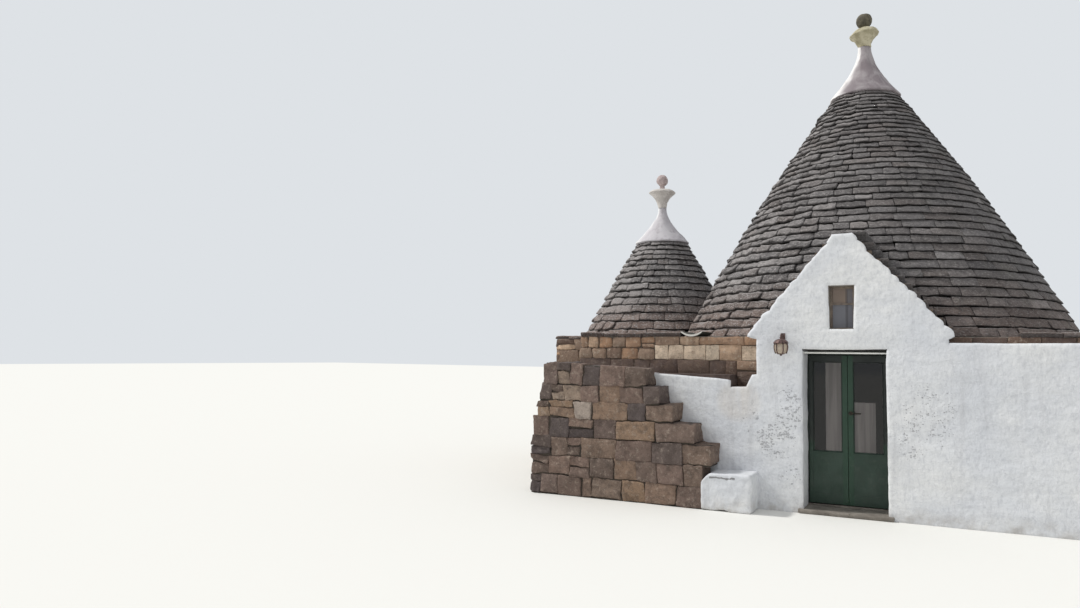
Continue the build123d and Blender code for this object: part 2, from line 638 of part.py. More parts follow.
# Gutter
def gutter_curve(width, rise, y):
    """A shallow trough across the gutter, as an arc between its two rims."""
    rim = WALL_TOP + GUTTER_RISE
    left, right = (GUTTER_X - width / 2, y, rim), (GUTTER_X + width / 2, y, rim)
    return ThreePointArc(left, (GUTTER_X, y, rim - rise), right), left, right


def valley_gutter():
    """A shallow stone trough, open in front, that drains the terrace between the cones."""
    front = BAND_Y - GUTTER_SPOUT
    outside, left, right = gutter_curve(GUTTER_WIDTH, GUTTER_RISE, front)
    inside, inner_left, inner_right = gutter_curve(GUTTER_WIDTH - 2 * GUTTER_WALL,
                                                   GUTTER_RISE - GUTTER_WALL, front)
    rims = Polyline(left, inner_left) + Polyline(inner_right, right)
    section = make_face(outside + inside + rims)
    save("valley_gutter", extrude(section, GUTTER_LENGTH, dir=(0, 1, 0)))


walls()
low_wall()
alcove_arch()
porch_piers()
floors()
main_roof()
gable()
small_roof()
pinnacles()
stair()
step_block()
door_frame()
hinges()
for leaf_name, leaf_side, leaf_hinge, leaf_meeting in leaf_places():
    leaf(leaf_name, leaf_side, leaf_hinge, leaf_meeting)
handle()
window()
lantern()
valley_gutter()
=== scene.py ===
import functools
import math

import bpy
import numpy as np
from mathutils import Matrix, Vector
from mathutils.geometry import delaunay_2d_cdt


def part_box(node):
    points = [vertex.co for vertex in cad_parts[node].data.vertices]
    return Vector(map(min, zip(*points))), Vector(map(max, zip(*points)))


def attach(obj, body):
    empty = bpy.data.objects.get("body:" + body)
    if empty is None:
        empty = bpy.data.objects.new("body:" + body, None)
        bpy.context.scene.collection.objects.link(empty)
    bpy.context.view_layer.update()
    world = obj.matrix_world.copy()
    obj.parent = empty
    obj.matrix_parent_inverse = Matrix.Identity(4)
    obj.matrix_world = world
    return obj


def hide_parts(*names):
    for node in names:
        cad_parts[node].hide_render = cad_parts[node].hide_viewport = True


# A small trullo, dressed: every slab of its cones, the brushed limewash over rubble, bare tan
# masonry and the worn stair. Metres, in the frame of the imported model.

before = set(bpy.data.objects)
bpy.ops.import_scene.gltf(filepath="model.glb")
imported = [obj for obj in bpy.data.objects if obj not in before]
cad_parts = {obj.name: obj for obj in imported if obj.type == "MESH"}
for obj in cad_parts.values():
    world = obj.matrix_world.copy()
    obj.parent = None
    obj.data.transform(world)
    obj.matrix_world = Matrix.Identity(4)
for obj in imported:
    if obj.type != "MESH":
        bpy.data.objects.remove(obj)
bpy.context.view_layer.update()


def low(node):
    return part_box(node)[0]


def high(node):
    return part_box(node)[1]


def middle(node):
    return (low(node) + high(node)) / 2


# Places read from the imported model
FACADE_Y = low("gable_head").y
BAND_Y = low("front_wall_left").y
BACK_Y = high("main_wall_back").y
RIGHT_X = high("main_wall_right").x
MAIN_LEFT_X = low("main_wall_left").x
TERRACE_X = low("low_white_wall").x
SMALL_LEFT_X = low("small_wall_left").x
SMALL_BACK_Y = high("small_wall_back").y
WALL_TOP = high("main_wall_right").z
PORCH_LEFT = high("low_white_wall").x
PORCH_RIGHT = high("door_pier_right").x
LOW_WALL_TOP = high("low_white_wall").z
SHOULDER_TOP = high("shoulder_wall_right").z
DOOR_HALF = low("door_pier_right").x
DOOR_HEAD = low("door_lintel").z
DOOR_Y = low("door_frame").y
ROOM_HALF = low("main_wall_right").x
WINDOW_LOW, WINDOW_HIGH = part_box("window_frame")
GUTTER_LEFT = low("valley_gutter").x
STEP_LOW, STEP_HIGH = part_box("step_block")
GABLE_FEET = {-1: -low("gable_head").x, 1: high("gable_head").x}
GABLE_TOP = high("gable_head").z
CONE_TOP = high("main_cone_upper").z
SMALL_TOP = low("small_cap").z
SMALL_CENTRE = Vector((middle("small_cap").x, middle("small_cap").y, 0))

# Shapes that the boxes don't tell. Each cone is its eave radius, top radius and bulge
CAP_OVERHANG = 0.03
FOOT_GROWTH = 0.36
EAVE_RADIUS = RIGHT_X
SMALL_EAVE_RADIUS = SMALL_CENTRE.x - SMALL_LEFT_X
SMALL_FRONT_Y = SMALL_CENTRE.y - SMALL_EAVE_RADIUS
MAIN_CONE = (EAVE_RADIUS, high("main_cap").x - CAP_OVERHANG, 0.092)
SMALL_CONE = (SMALL_EAVE_RADIUS, high("small_cap").x - SMALL_CENTRE.x - CAP_OVERHANG, 0.014)
MAIN_COURSES = 39
RING_ROWS = (0, 12, 25, 39)
SMALL_COURSES = 15
GABLE_TOP_HALF = 0.134
GABLE_COURSES = 12
# How much of the dark lintel shows over the door, as a strip of painted shade
HEAD_SHADE_STRIP = 0.03
NOTCH_LEFT, NOTCH_RIGHT, NOTCH_LOW, NOTCH_CHAMFER = -1.29, -1.015, 1.40, 0.07
ALCOVE_HALF = 0.57
PASSAGE_HALF = 0.56
ARCH_HALF = 0.42
STAIR_LEFT, STAIR_BATTER, STAIR_TOP = -3.76, 0.20, 1.594
STAIR_COURSES = 6
PLASTER_STEP, SOFT_EDGE = 0.03, 0.012


# Random numbers and noise
HASH_PRIMES = np.array([73856093, 19349663, 83492791])
HASH_SEED_STEP = 40503
HASH_ROUNDS = ((15, 0x2C1B3C6D), (12, 0x297A2D39))
HASH_MASK = 0xFFFFFFFF


def lattice_random(cells, seed):
    """A steady random number from 0 to 1 for each whole-number cell."""
    key = (cells @ HASH_PRIMES[:cells.shape[-1]] + seed * HASH_SEED_STEP) & HASH_MASK
    for shift, factor in HASH_ROUNDS:
        key = (key ^ (key >> shift)) * factor & HASH_MASK
    return (key ^ (key >> 15)) / HASH_MASK


def smooth(share):
    return share * share * (3 - 2 * share)


def corner_weights(share):
    """Each corner of a box, with its weight at places given as shares of the box's sides."""
    for corner in np.ndindex(2, 2, 2):
        corner = np.array(corner)
        yield corner, np.prod(np.where(corner, share, 1 - share), axis=1)


def value_noise(points, scale, seed):
    """Smooth noise from -1 to 1 at each point, with lumps of about the given size."""
    cells = points / scale
    base = np.floor(cells).astype(np.int64)
    total = np.zeros(len(points))
    for corner, weight in corner_weights(smooth(cells - base)):
        total += weight * (2 * lattice_random(base + corner, seed) - 1)
    return total


def shake(points, amount, scale, seed):
    """The points moved a little in all three directions, the same way wherever they are near."""
    moves = [value_noise(points, scale, seed + axis) for axis in range(3)]
    return points + amount * np.stack(moves, axis=1)


def rubble_joints(spots, seed):
    """How near each spot, counted in stones, is to a joint of hidden rubble: 1 on it, else 0."""
    base = np.floor(spots).astype(np.int64)
    nearest = second = np.full(len(spots), 9.0)
    for step in np.ndindex(3, 3):
        cell = base + np.array(step) - 1
        jitter = np.stack([lattice_random(cell, seed), lattice_random(cell, seed + 1)], axis=1)
        distance = np.linalg.norm(cell + 0.15 + 0.7 * jitter - spots, axis=1)
        second = np.minimum(second, np.maximum(nearest, distance))
        nearest = np.minimum(nearest, distance)
    return 1 - smooth(np.clip((second - nearest) / 0.25, 0, 1))


# Mesh making
def add_object(name, data):
    thing = bpy.data.objects.new(name, data)
    bpy.context.scene.collection.objects.link(thing)
    return thing


def add_piece(name, points, faces, material, slot, replaces=(), body="house", tones=None):
    """A smooth mesh object that rides on a body, with an optional tone for each point."""
    mesh = bpy.data.meshes.new(name)
    mesh.from_pydata(np.asarray(points).tolist(), [], [list(map(int, face)) for face in faces])
    mesh.shade_smooth()
    if tones is not None:
        mesh.attributes.new("tone", "FLOAT", "POINT").data.foreach_set(
            "value", np.asarray(tones, dtype=np.float32))
    mesh.materials.append(material)
    piece = add_object(name, mesh)
    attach(piece, body)
    if replaces:
        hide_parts(*replaces)


class Pile:
    """Many separate stones gathered into one mesh, each with its own tone."""

    def __init__(self):
        self.points, self.faces, self.tones, self.count = [], [], [], 0

    def add(self, points, faces, tone=0.5):
        self.points.append(points)
        self.faces.extend((np.asarray(face) + self.count).tolist() for face in faces)
        self.tones.append(np.full(len(points), tone))
        self.count += len(points)

    def build(self, name, material, slot, rough=0.0, grain=0.05, seed=1, **links):
        points = shake(np.concatenate(self.points), rough, grain, seed)
        add_piece(name, points, self.faces, material, slot, tones=np.concatenate(self.tones),
                  **links)


@functools.lru_cache(maxsize=None)
def box_grid(counts):
    """The lattice places and outward quads of a box surface with so many segments a side."""
    numbers, quads = {}, []
    for axis in range(3):
        across, up = (axis + 1) % 3, (axis + 2) % 3
        for level in (0, counts[axis]):
            for a, b in np.ndindex(counts[across], counts[up]):
                quad = []
                for da, db in ((0, 0), (1, 0), (1, 1), (0, 1)):
                    place = [0, 0, 0]
                    place[axis], place[across], place[up] = level, a + da, b + db
                    quad.append(numbers.setdefault(tuple(place), len(numbers)))
                quads.append(quad if level else quad[::-1])
    return np.array(list(numbers)), np.array(quads)


def rounded_box(size, edge, counts, sharp=1.0):
    """Points and quads of a box about the origin with rounded edges, its ends sharper if asked."""
    stretch = np.array((sharp, 1.0, 1.0))
    half = np.array(size) / 2 * stretch
    edge = min(edge, half.min() * 0.9)
    places, quads = box_grid(tuple(count + 2 for count in counts))
    lines = [np.concatenate(([-h], np.linspace(edge - h, h - edge, count + 1), [h]))
             for h, count in zip(half, counts)]
    points = np.stack([lines[axis][places[:, axis]] for axis in range(3)], axis=1)
    inner = np.clip(points, edge - half, half - edge)
    away = points - inner
    length = np.maximum(np.linalg.norm(away, axis=1, keepdims=True), 1e-9)
    return (inner + away / length * edge) / stretch, quads


def rough_box(size, edge, counts, skew, rng, sharp=1.0):
    """A rounded box with its eight corners pulled about at random."""
    points, quads = rounded_box(size, edge, counts, sharp)
    moved = points.copy()
    for _, weight in corner_weights(np.clip(points / np.array(size) + 0.5, 0, 1)):
        moved += weight[:, None] * rng.uniform(-1, 1, 3) * np.array(skew)
    return moved, quads


def some_tone(mean, spread, rng):
    return np.clip(rng.normal(mean, spread), 0, 1)


def skin(rings):
    """Points and faces of a closed form through rings of points, flat at both ends."""
    count = len(rings[0])
    faces = []
    for row in range(len(rings) - 1):
        for number in range(count):
            here, there = row * count + number, row * count + (number + 1) % count
            faces.append([here, there, there + count, here + count])
    faces.append(list(range(count))[::-1])
    faces.append([(len(rings) - 1) * count + number for number in range(count)])
    return np.concatenate(rings), faces


def polar(radius, degrees):
    """The two legs of a radius that stands at an angle."""
    angle = math.radians(degrees)
    return radius * math.cos(angle), radius * math.sin(angle)


def turned(profile, segments, centre):
    """Points and faces of a profile of (radius, z), from the bottom up, turned about an axis."""
    angles = np.linspace(0, 2 * math.pi, segments, endpoint=False)
    return skin([np.stack([centre[0] + radius * np.cos(angles),
                           centre[1] + radius * np.sin(angles), np.full(segments, z)], axis=1)
                 for radius, z in profile])


def tube(path, radius, sides=8):
    """Points and faces of a round bar along a list of points."""
    path = [Vector(point) for point in path]
    side = Vector((0.31, 0.17, 0.93)).normalized()
    rings = []
    for number, point in enumerate(path):
        ahead = (path[min(number + 1, len(path) - 1)] - path[max(number - 1, 0)]).normalized()
        side = (side - side.dot(ahead) * ahead).normalized()
        other = ahead.cross(side)
        legs = [polar(1.0, 360 * step / sides) for step in range(sides)]
        rings.append([tuple(point + radius * (a * side + b * other)) for a, b in legs])
    return skin(rings)


# Materials
def srgb(shade):
    """A linear colour from screen values of 0 to 255."""
    parts = [value / 255 for value in shade]
    return (*(p / 12.92 if p <= 0.04045 else ((p + 0.055) / 1.055) ** 2.4 for p in parts), 1.0)


def put(tree, socket, value):
    if isinstance(value, bpy.types.NodeSocket):
        tree.links.new(value, socket)
    else:
        socket.default_value = value


def add_node(tree, kind, values, **settings):
    """The outputs of a new node whose inputs, by name or number, are set or linked."""
    node = tree.nodes.new("ShaderNode" + kind)
    for name, setting in settings.items():
        setattr(node, name, setting)
    for key, value in values.items():
        put(tree, node.inputs[key], value)
    return node.outputs


class Finish:
    """A node material, with short calls for the nodes that the finishes share."""

    def __init__(self, name, roughness, metallic=0.0):
        self.material = bpy.data.materials.new(name)
        self.material.use_nodes = True
        self.tree = self.material.node_tree
        self.shader = self.tree.nodes["Principled BSDF"].inputs
        self.shader["Roughness"].default_value = roughness
        self.shader["Metallic"].default_value = metallic
        coordinates = self.node("TexCoord", {})
        self.place, self.normal = coordinates["Object"], coordinates["Normal"]
        self.colour = None

    def node(self, kind, values, **settings):
        return add_node(self.tree, kind, values, **settings)

    def math(self, operation, *values):
        return self.node("Math", dict(enumerate(values)), operation=operation)[0]

    def times(self, *values):
        return functools.reduce(functools.partial(self.math, "MULTIPLY"), values)

    def most(self, *values):
        return functools.reduce(functools.partial(self.math, "MAXIMUM"), values)

    def off(self, value, place):
        """How far a value is from a place, either way."""
        return self.math("ABSOLUTE", self.math("SUBTRACT", value, place))

    def between(self, value, start, end):
        return self.times(self.math("GREATER_THAN", value, start),
                          self.math("LESS_THAN", value, end))

    def ramp(self, value, start, end, first=0.0, last=1.0):
        return self.node("MapRange", dict(enumerate((value, start, end, first, last))),
                         interpolation_type="SMOOTHSTEP")[0]

    def axes(self, vector=None):
        return self.node("SeparateXYZ", {0: vector or self.place})

    def stretched(self, stretch):
        return self.node("Mapping", {"Vector": self.place, "Scale": stretch})[0]

    def noise(self, scale, detail, stretch=(1, 1, 1), rough=0.55, warp=0.0):
        return self.node("TexNoise", {"Vector": self.stretched(stretch), "Scale": scale,
                                      "Detail": detail, "Roughness": rough,
                                      "Distortion": warp})["Fac"]

    def spots(self, start, end, *noise, **more):
        """Noise made into patches: 0 where it is below start, 1 above end."""
        return self.ramp(self.noise(*noise, **more), start, end)

    def pits(self, scale, dense, stretch):
        """Ragged dots, more and larger of them where dense nears 1: 1 within a dot."""
        wander = 0.012
        drift = self.node("TexNoise", {"Vector": self.place, "Scale": scale * 1.4})["Color"]
        moved = self.node("VectorMath", {0: drift, 1: (wander, wander, wander),
                                         2: self.stretched(stretch)}, operation="MULTIPLY_ADD")
        cells = self.node("TexVoronoi", {"Vector": moved[0], "Scale": scale})
        chance = self.axes(cells["Color"])[0]
        radius = self.times(self.math("SUBTRACT", dense, chance), 0.62)
        return self.ramp(self.math("SUBTRACT", radius, cells["Distance"]), -0.03, 0.08)

    def mix(self, factor, *colours):
        first, second = (colour if isinstance(colour, bpy.types.NodeSocket) else srgb(colour)
                         for colour in colours)
        return self.node("Mix", {0: factor, 6: first, 7: second}, data_type="RGBA")[2]

    def stain(self, where, strength, shade):
        """Lays a shade over the colour as far as a mask times a strength allows."""
        self.colour = self.mix(self.times(where, strength), self.colour, shade)

    def shades(self, factor, stops):
        """A row of colours along a factor, as (place, colour) stops."""
        node = self.tree.nodes.new("ShaderNodeValToRGB")
        elements = node.color_ramp.elements
        while len(elements) < len(stops):
            elements.new(0.5)
        for element, (place, shade) in zip(elements, stops):
            element.position, element.color = place, srgb(shade)
        self.tree.links.new(factor, node.inputs[0])
        return node.outputs[0]

    def tone(self):
        return self.node("Attribute", {}, attribute_name="tone")["Fac"]

    def scatter(self, value):
        """A second random number from a stone's tone."""
        return self.node("TexWhiteNoise", {"W": self.times(value, 517.0)},
                         noise_dimensions="1D")["Value"]

    def bump(self, *layers):
        """Surface grain: each layer is a height and how far it stands out in metres."""
        below = {}
        for height, distance in layers:
            last = self.node("Bump", {"Distance": distance, "Height": height, **below})[0]
            below = {"Normal": last}
        put(self.tree, self.shader["Normal"], last)

    def done(self, roughness=None):
        put(self.tree, self.shader["Base Color"], self.colour)
        if roughness:
            put(self.tree, self.shader["Roughness"], roughness)
        return self.material

    def patch(self, centre, half):
        """1 inside a soft-edged oval on a front face, falling to 0 outside it."""
        x, _, z = self.axes()
        squares = []
        for value, place, reach in zip((x, z), centre, half):
            share = self.math("DIVIDE", self.math("SUBTRACT", value, place), reach)
            squares.append(self.times(share, share))
        return self.ramp(self.math("ADD", *squares), 1.4, 0.3)

    def within(self, low_x, high_x, low_y, high_y):
        """1 where a place lies inside a plan rectangle."""
        x, y, _ = self.axes()
        return self.times(self.between(x, low_x, high_x), self.between(y, low_y, high_y))


# Oval zones of the front where the limewash flakes: centre, half size and how densely
FLAKING = (((-0.74, 0.82), (0.26, 0.26), 0.9), ((-0.60, 1.18), (0.18, 0.34), 0.8),
           ((-1.05, 1.04), (0.14, 0.20), 0.65), ((-0.60, 0.42), (0.16, 0.18), 0.6),
           ((0.68, 0.86), (0.16, 0.22), 0.7), ((0.86, 1.16), (0.32, 0.42), 0.6))
RAIN_RUN = ((-1.18, 1.24), (0.26, 0.24))
CRACK_Z, CRACK_SWAY = 0.342, 0.07


def limewash():
    """Brushed limewash over rubble: faint rain streaks, grime at the foot and flaked specks."""
    f = Finish("limewash", 0.92)
    z = f.axes()[2]
    f.colour = f.mix(f.spots(0.3, 0.7, 1.1, 5, warp=0.4), (212, 215, 220), (228, 229, 229))
    f.stain(f.spots(0.45, 0.75, 5.5, 4, (0.55, 1, 1), warp=0.5), 0.35, (192, 195, 201))
    f.stain(f.spots(0.48, 0.66, 22, 5, (1, 1, 0.7), 0.7), 0.34, (180, 183, 189))
    f.stain(f.spots(0.52, 0.70, 34, 4, (1, 1, 0.28), 0.6), 0.22, (176, 178, 184))
    low_part = f.ramp(z, LOW_WALL_TOP + 0.4, LOW_WALL_TOP - 0.2, 0.14, 0.3)
    f.stain(f.spots(0.50, 0.72, 9, 5, (1, 1, 0.10), warp=0.3), low_part, (178, 179, 182))
    run = f.times(f.patch(*RAIN_RUN), f.noise(9, 4, (1, 1, 0.2)))
    f.stain(run, 0.6, (206, 194, 178))
    patches = [f.times(f.patch(centre, half), dense) for centre, half, dense in FLAKING]
    zones = f.most(f.times(f.spots(0.40, 0.75, 2.6, 3), 0.34), *patches)
    zones = f.times(zones, f.ramp(f.noise(9, 5, warp=0.8), 0.34, 0.56, 0.3, 1.15))
    bare = f.most(f.pits(34, zones, (0.62, 1, 1.05)), f.pits(64, f.times(zones, 1.1), (0.8, 1, 1)))
    f.stain(bare, 0.52, (118, 118, 122))
    crack_z = f.math("ADD", CRACK_Z, f.times(f.noise(14, 5, rough=0.7), CRACK_SWAY))
    on_step = f.within(STEP_LOW.x + 0.10, STEP_LOW.x + 0.40, STEP_LOW.y - 0.1, STEP_HIGH.y - 0.05)
    f.stain(f.times(f.ramp(f.off(z, crack_z), 0.016, 0.004), on_step), 0.75, (84, 80, 78))
    notch = f.times(f.within(NOTCH_LEFT - 0.03, NOTCH_RIGHT, FACADE_Y + 0.02, BAND_Y + 0.1),
                    f.math("GREATER_THAN", z, NOTCH_LOW - 0.02))
    f.stain(notch, 0.95, (84, 70, 64))
    f.stain(f.times(f.ramp(z, 0.22, 0.0), f.spots(0.35, 0.7, 7, 5)), 0.5, (158, 150, 140))
    f.bump((f.noise(9, 5, (0.75, 1, 1), 0.6), 0.016), (f.noise(30, 4, (1, 1, 0.7)), 0.006),
           (f.noise(60, 3, (1, 1, 0.3)), 0.0018), (f.times(bare, -1.0), 0.003))
    return f.done()


def slabs():
    """Weathered roof slabs: each its own grey, warmer near the eave, with pale and dark spots; the
    paler left side and upward faces are painted highlight, the darker downward faces painted shade.
    """
    f = Finish("roof_slabs", 0.93)
    tone = f.tone()
    x, _, z = f.axes()
    f.colour = f.shades(tone, ((0.0, (76, 73, 74)), (0.35, (97, 94, 94)), (0.7, (118, 115, 115)),
                               (1.0, (154, 150, 149))))
    f.stain(f.ramp(f.scatter(tone), 0.55, 1.0), 0.35, (112, 99, 92))
    eave = f.times(f.ramp(z, WALL_TOP + 0.9, WALL_TOP + 0.05), f.ramp(x, 1.6, -1.8, 0.6, 1.0))
    f.stain(eave, 0.62, (122, 95, 80))
    f.stain(f.times(f.spots(0.5, 0.7, 4, 6), f.ramp(x, -0.6, 2.0)), 0.3, (98, 97, 86))
    f.stain(f.spots(0.45, 0.68, 14, 6, rough=0.65), 0.45, (62, 60, 60))
    f.stain(f.spots(0.46, 0.64, 30, 5, (1, 1, 3.2), 0.7), 0.40, (58, 56, 56))
    # Pale flecks all over, denser on the left side as painted sunlight
    f.stain(f.spots(0.515, 0.63, 32, 5, (1, 1, 2.2), 0.75), f.ramp(x, 0.8, -1.4, 0.38, 0.90),
            (176, 172, 170))
    # Upward faces painted paler as painted highlight, downward faces darker as painted shade
    facing = f.axes(f.normal)[2]
    f.stain(f.ramp(facing, 0.70, 0.95), 0.5, (172, 168, 166))
    f.stain(f.ramp(facing, 0.40, 0.0), 0.6, (46, 43, 43))
    f.bump((f.noise(12, 6, (1, 1, 2.4), 0.6), 0.026), (f.noise(42, 5, (1, 1, 2.0), 0.7), 0.013))
    return f.done()


def bare_stone(name, stops, dark, light, other, share):
    """Bare wall stone: a row of colours by each stone's tone, some of another hue, then stains."""
    f = Finish(name, 0.94)
    tone = f.tone()
    f.colour = f.shades(tone, stops)
    f.stain(f.ramp(f.scatter(tone), 0.5, 0.75), share, other)
    f.stain(f.spots(0.44, 0.64, 9, 8, rough=0.75), 0.50, dark)
    f.stain(f.spots(0.52, 0.66, 19, 7, rough=0.78), f.ramp(tone, 0.02, 0.30, 0.15, 0.5), light)
    f.stain(f.spots(0.56, 0.64, 46, 6, rough=0.75), 0.5, dark)
    f.bump((f.noise(10, 7, rough=0.65), 0.036), (f.noise(46, 5, rough=0.7), 0.009))
    return f.done()


def core_masonry():
    """What the laid stones sit on: dark joints outside, limewash in the rooms, screed on top."""
    f = Finish("wall_core", 0.93)
    x, _, z = f.axes()
    room, alcove, edge = ROOM_HALF + 0.02, ALCOVE_HALF + 0.01, 0.03
    small_x, small_y = SMALL_CENTRE.x, SMALL_CENTRE.y
    indoors = f.most(
        f.within(-room, room, -room, room),
        f.within(-PASSAGE_HALF - 0.01, PASSAGE_HALF + 0.01, DOOR_Y - 0.01, -ROOM_HALF + 0.01),
        f.within(small_x - alcove, small_x + alcove, small_y - alcove, small_y + alcove),
        f.within(small_x, -ROOM_HALF, small_y - ARCH_HALF - 0.01, small_y + ARCH_HALF + 0.01))
    by_window = f.times(f.between(x, WINDOW_LOW.x - edge, WINDOW_HIGH.x + edge),
                        f.between(z, WINDOW_LOW.z - edge, WINDOW_HIGH.z + edge))
    flat = f.times(f.ramp(z, WALL_TOP - 0.02, WALL_TOP - 0.005),
                   f.ramp(z, WALL_TOP + 0.03, WALL_TOP + 0.015))
    joints = f.mix(f.noise(9, 6), (84, 72, 62), (92, 82, 72))
    ledge = f.mix(f.noise(3.5, 6), (112, 107, 101), (158, 152, 143))
    rooms = f.mix(f.noise(2.2, 5), (196, 198, 200), (214, 214, 210))
    f.colour = f.mix(indoors, f.mix(f.most(flat, by_window), joints, ledge), rooms)
    f.bump((f.noise(10, 6), 0.010), (f.noise(60, 4), 0.002))
    return f.done()


def brushed(f, least_rough):
    """Old gloss paint on wood: brush marks, and a gloss that is worn in places."""
    f.bump((f.noise(40, 4, (1, 1, 0.06)), 0.0012), (f.noise(120, 3), 0.0004))
    return f.done(f.ramp(f.noise(9, 4), 0.3, 0.7, least_rough, 0.55))


def plain_paint(name, fresh, worn):
    """Gloss paint with faint wear and a little dust at the foot."""
    f = Finish(name, 0.42)
    f.colour = f.mix(f.spots(0.4, 0.7, 6, 5), fresh, worn)
    dust = f.times(f.ramp(f.axes()[2], 0.5, 0.1), f.spots(0.45, 0.75, 13, 5))
    f.stain(dust, 0.25, (96, 100, 88))
    return brushed(f, 0.34)


def leaf_paint():
    """Dark green door paint; the leaf above its lower panels is painted darker as painted shade,
    except on the meeting stiles.
    """
    f = Finish("leaf_paint", 0.42)
    x, _, z = f.axes()
    base = f.mix(f.spots(0.35, 0.7, 5, 5), (29, 53, 40), (39, 62, 50))
    # Above the lower panels the leaf is darker, as painted shade in the door's recess
    base = f.mix(f.ramp(z, 0.76, 0.82), base, (26, 34, 30))
    f.colour = f.mix(f.ramp(f.math("ABSOLUTE", x), 0.075, 0.05), base, (25, 60, 41))
    f.stain(f.spots(0.55, 0.75, 11, 5), 0.3, (74, 84, 74))
    return brushed(f, 0.36)


def plain_stone(name, dark, light, spot, scale=6.0):
    """Carved or laid stone in one piece, with grain, stains and a few dark pits."""
    f = Finish(name, 0.9)
    f.colour = f.mix(f.spots(0.35, 0.68, scale, 6, rough=0.62), dark, light)
    f.stain(f.spots(0.6, 0.72, scale * 5, 4), 0.6, spot)
    f.bump((f.noise(scale * 3, 6), 0.006), (f.noise(90, 4), 0.0018))
    return f.done()


def gutter_stone():
    """The valley gutter: a pale worn lip in front; elsewhere dark, partly moss and partly painted
    shade on its inside and underside.
    """
    f = Finish("gutter_stone", 0.9)
    # Every face but the front is dark: moss, and painted shade inside and under the trough
    moss_and_shade = f.mix(f.noise(12, 5), (50, 52, 46), (82, 80, 72))
    f.colour = f.mix(f.ramp(f.axes(f.normal)[1], -0.6, -0.9), moss_and_shade, (206, 204, 198))
    f.bump((f.noise(30, 5), 0.006))
    return f.done()


def streaked_cap(name, sunlit_white, stain, share):
    """A limewashed cap: white on faces turned to the left as painted sunlight, and elsewhere a grey
    and pink mottle that is partly stain and partly painted shade.
    """
    f = Finish(name, 0.9)
    # Faces not turned to the left take the mottle, as painted shade
    shaded_side = f.ramp(f.axes(f.normal)[0], -0.75, -0.35)
    mottle = f.ramp(f.noise(6, 5, (1, 1, 0.35), warp=0.5), 0.30, 0.62, share * 0.78, share)
    f.colour = f.mix(f.times(mottle, shaded_side), sunlit_white, stain)
    f.stain(f.spots(0.5, 0.7, 14, 5, (1, 1, 0.14)), 0.35, (134, 126, 130))
    f.bump((f.noise(16, 5), 0.008), (f.noise(70, 4), 0.003))
    return f.done()


def metal(name, dark, light, roughness, metallic):
    f = Finish(name, roughness, metallic)
    f.colour = f.mix(f.spots(0.35, 0.7, 45, 5), dark, light)
    f.bump((f.noise(160, 4), 0.0006))
    return f.done()


def lantern_glass():
    """Thin tinted glass."""
    f = Finish("lantern_glass", 0.2)
    f.shader["IOR"].default_value = 1.45
    f.shader["Transmission Weight"].default_value = 0.45
    f.colour = srgb((206, 190, 170))
    return f.done()


def door_panes():
    """The door's glass: dark, with grey net curtains behind the left and lower right of it."""
    net_left, net_right, net_top, stile, hem = -0.252, 0.295, 1.25, 0.02, 0.01
    f = Finish("door_glass", 0.05)
    f.shader["IOR"].default_value = 1.45
    f.shader["Specular IOR Level"].default_value = 0.18
    x, _, z = f.axes()
    left = f.times(f.ramp(x, net_left, net_left + hem), f.math("LESS_THAN", x, -stile))
    right = f.times(f.math("GREATER_THAN", x, stile), f.ramp(x, net_right + hem, net_right),
                    f.ramp(z, net_top + 0.015, net_top))
    folds = f.ramp(f.noise(24, 3, (1, 1, 0.05)), 0.35, 0.65, 0.82, 1.0)
    net = f.times(f.most(left, right), folds)
    clear = f.math("SUBTRACT", 0.97, f.times(net, 0.85))
    put(f.tree, f.shader["Transmission Weight"], clear)
    f.colour = f.mix(net, (72, 72, 74), (124, 120, 118))
    return f.done()


def window_panes():
    """The window's glass: a brown upper pane over a blue-grey one, the blue-grey a painted
    reflection, and a curtain at the right with painted shade along its fold.
    """
    bar_share, curtain_share = 0.58, 0.66
    f = Finish("window_glass", 0.15)
    f.shader["Transmission Weight"].default_value = 0.25
    size = WINDOW_HIGH - WINDOW_LOW
    bar, curtain = WINDOW_LOW.z + bar_share * size.z, WINDOW_LOW.x + curtain_share * size.x
    x, _, z = f.axes()
    # The lower pane's blue-grey is a painted reflection of the sky
    f.colour = f.mix(f.ramp(z, bar - 0.005, bar + 0.005), (136, 137, 145), (158, 138, 122))
    f.stain(f.ramp(x, curtain, curtain + 0.006), 0.7, (128, 128, 138))
    # Dark along the curtain's fold and in streaks: painted shade
    fold = f.ramp(f.off(x, curtain), 0.022, 0.008)
    f.stain(f.most(fold, f.times(f.noise(16, 4, (1, 1, 0.3)), 0.5)), 0.6, (66, 62, 62))
    return f.done()


TAN_STOPS = ((0.0, (84, 70, 66)), (0.18, (108, 88, 76)), (0.4, (152, 130, 112)),
             (0.6, (176, 138, 108)), (0.8, (214, 188, 162)), (1.0, (224, 206, 184)))
STAIR_STOPS = ((0.0, (80, 71, 70)), (0.3, (105, 90, 81)), (0.5, (126, 106, 96)),
               (0.75, (148, 123, 100)), (1.0, (168, 155, 144)))

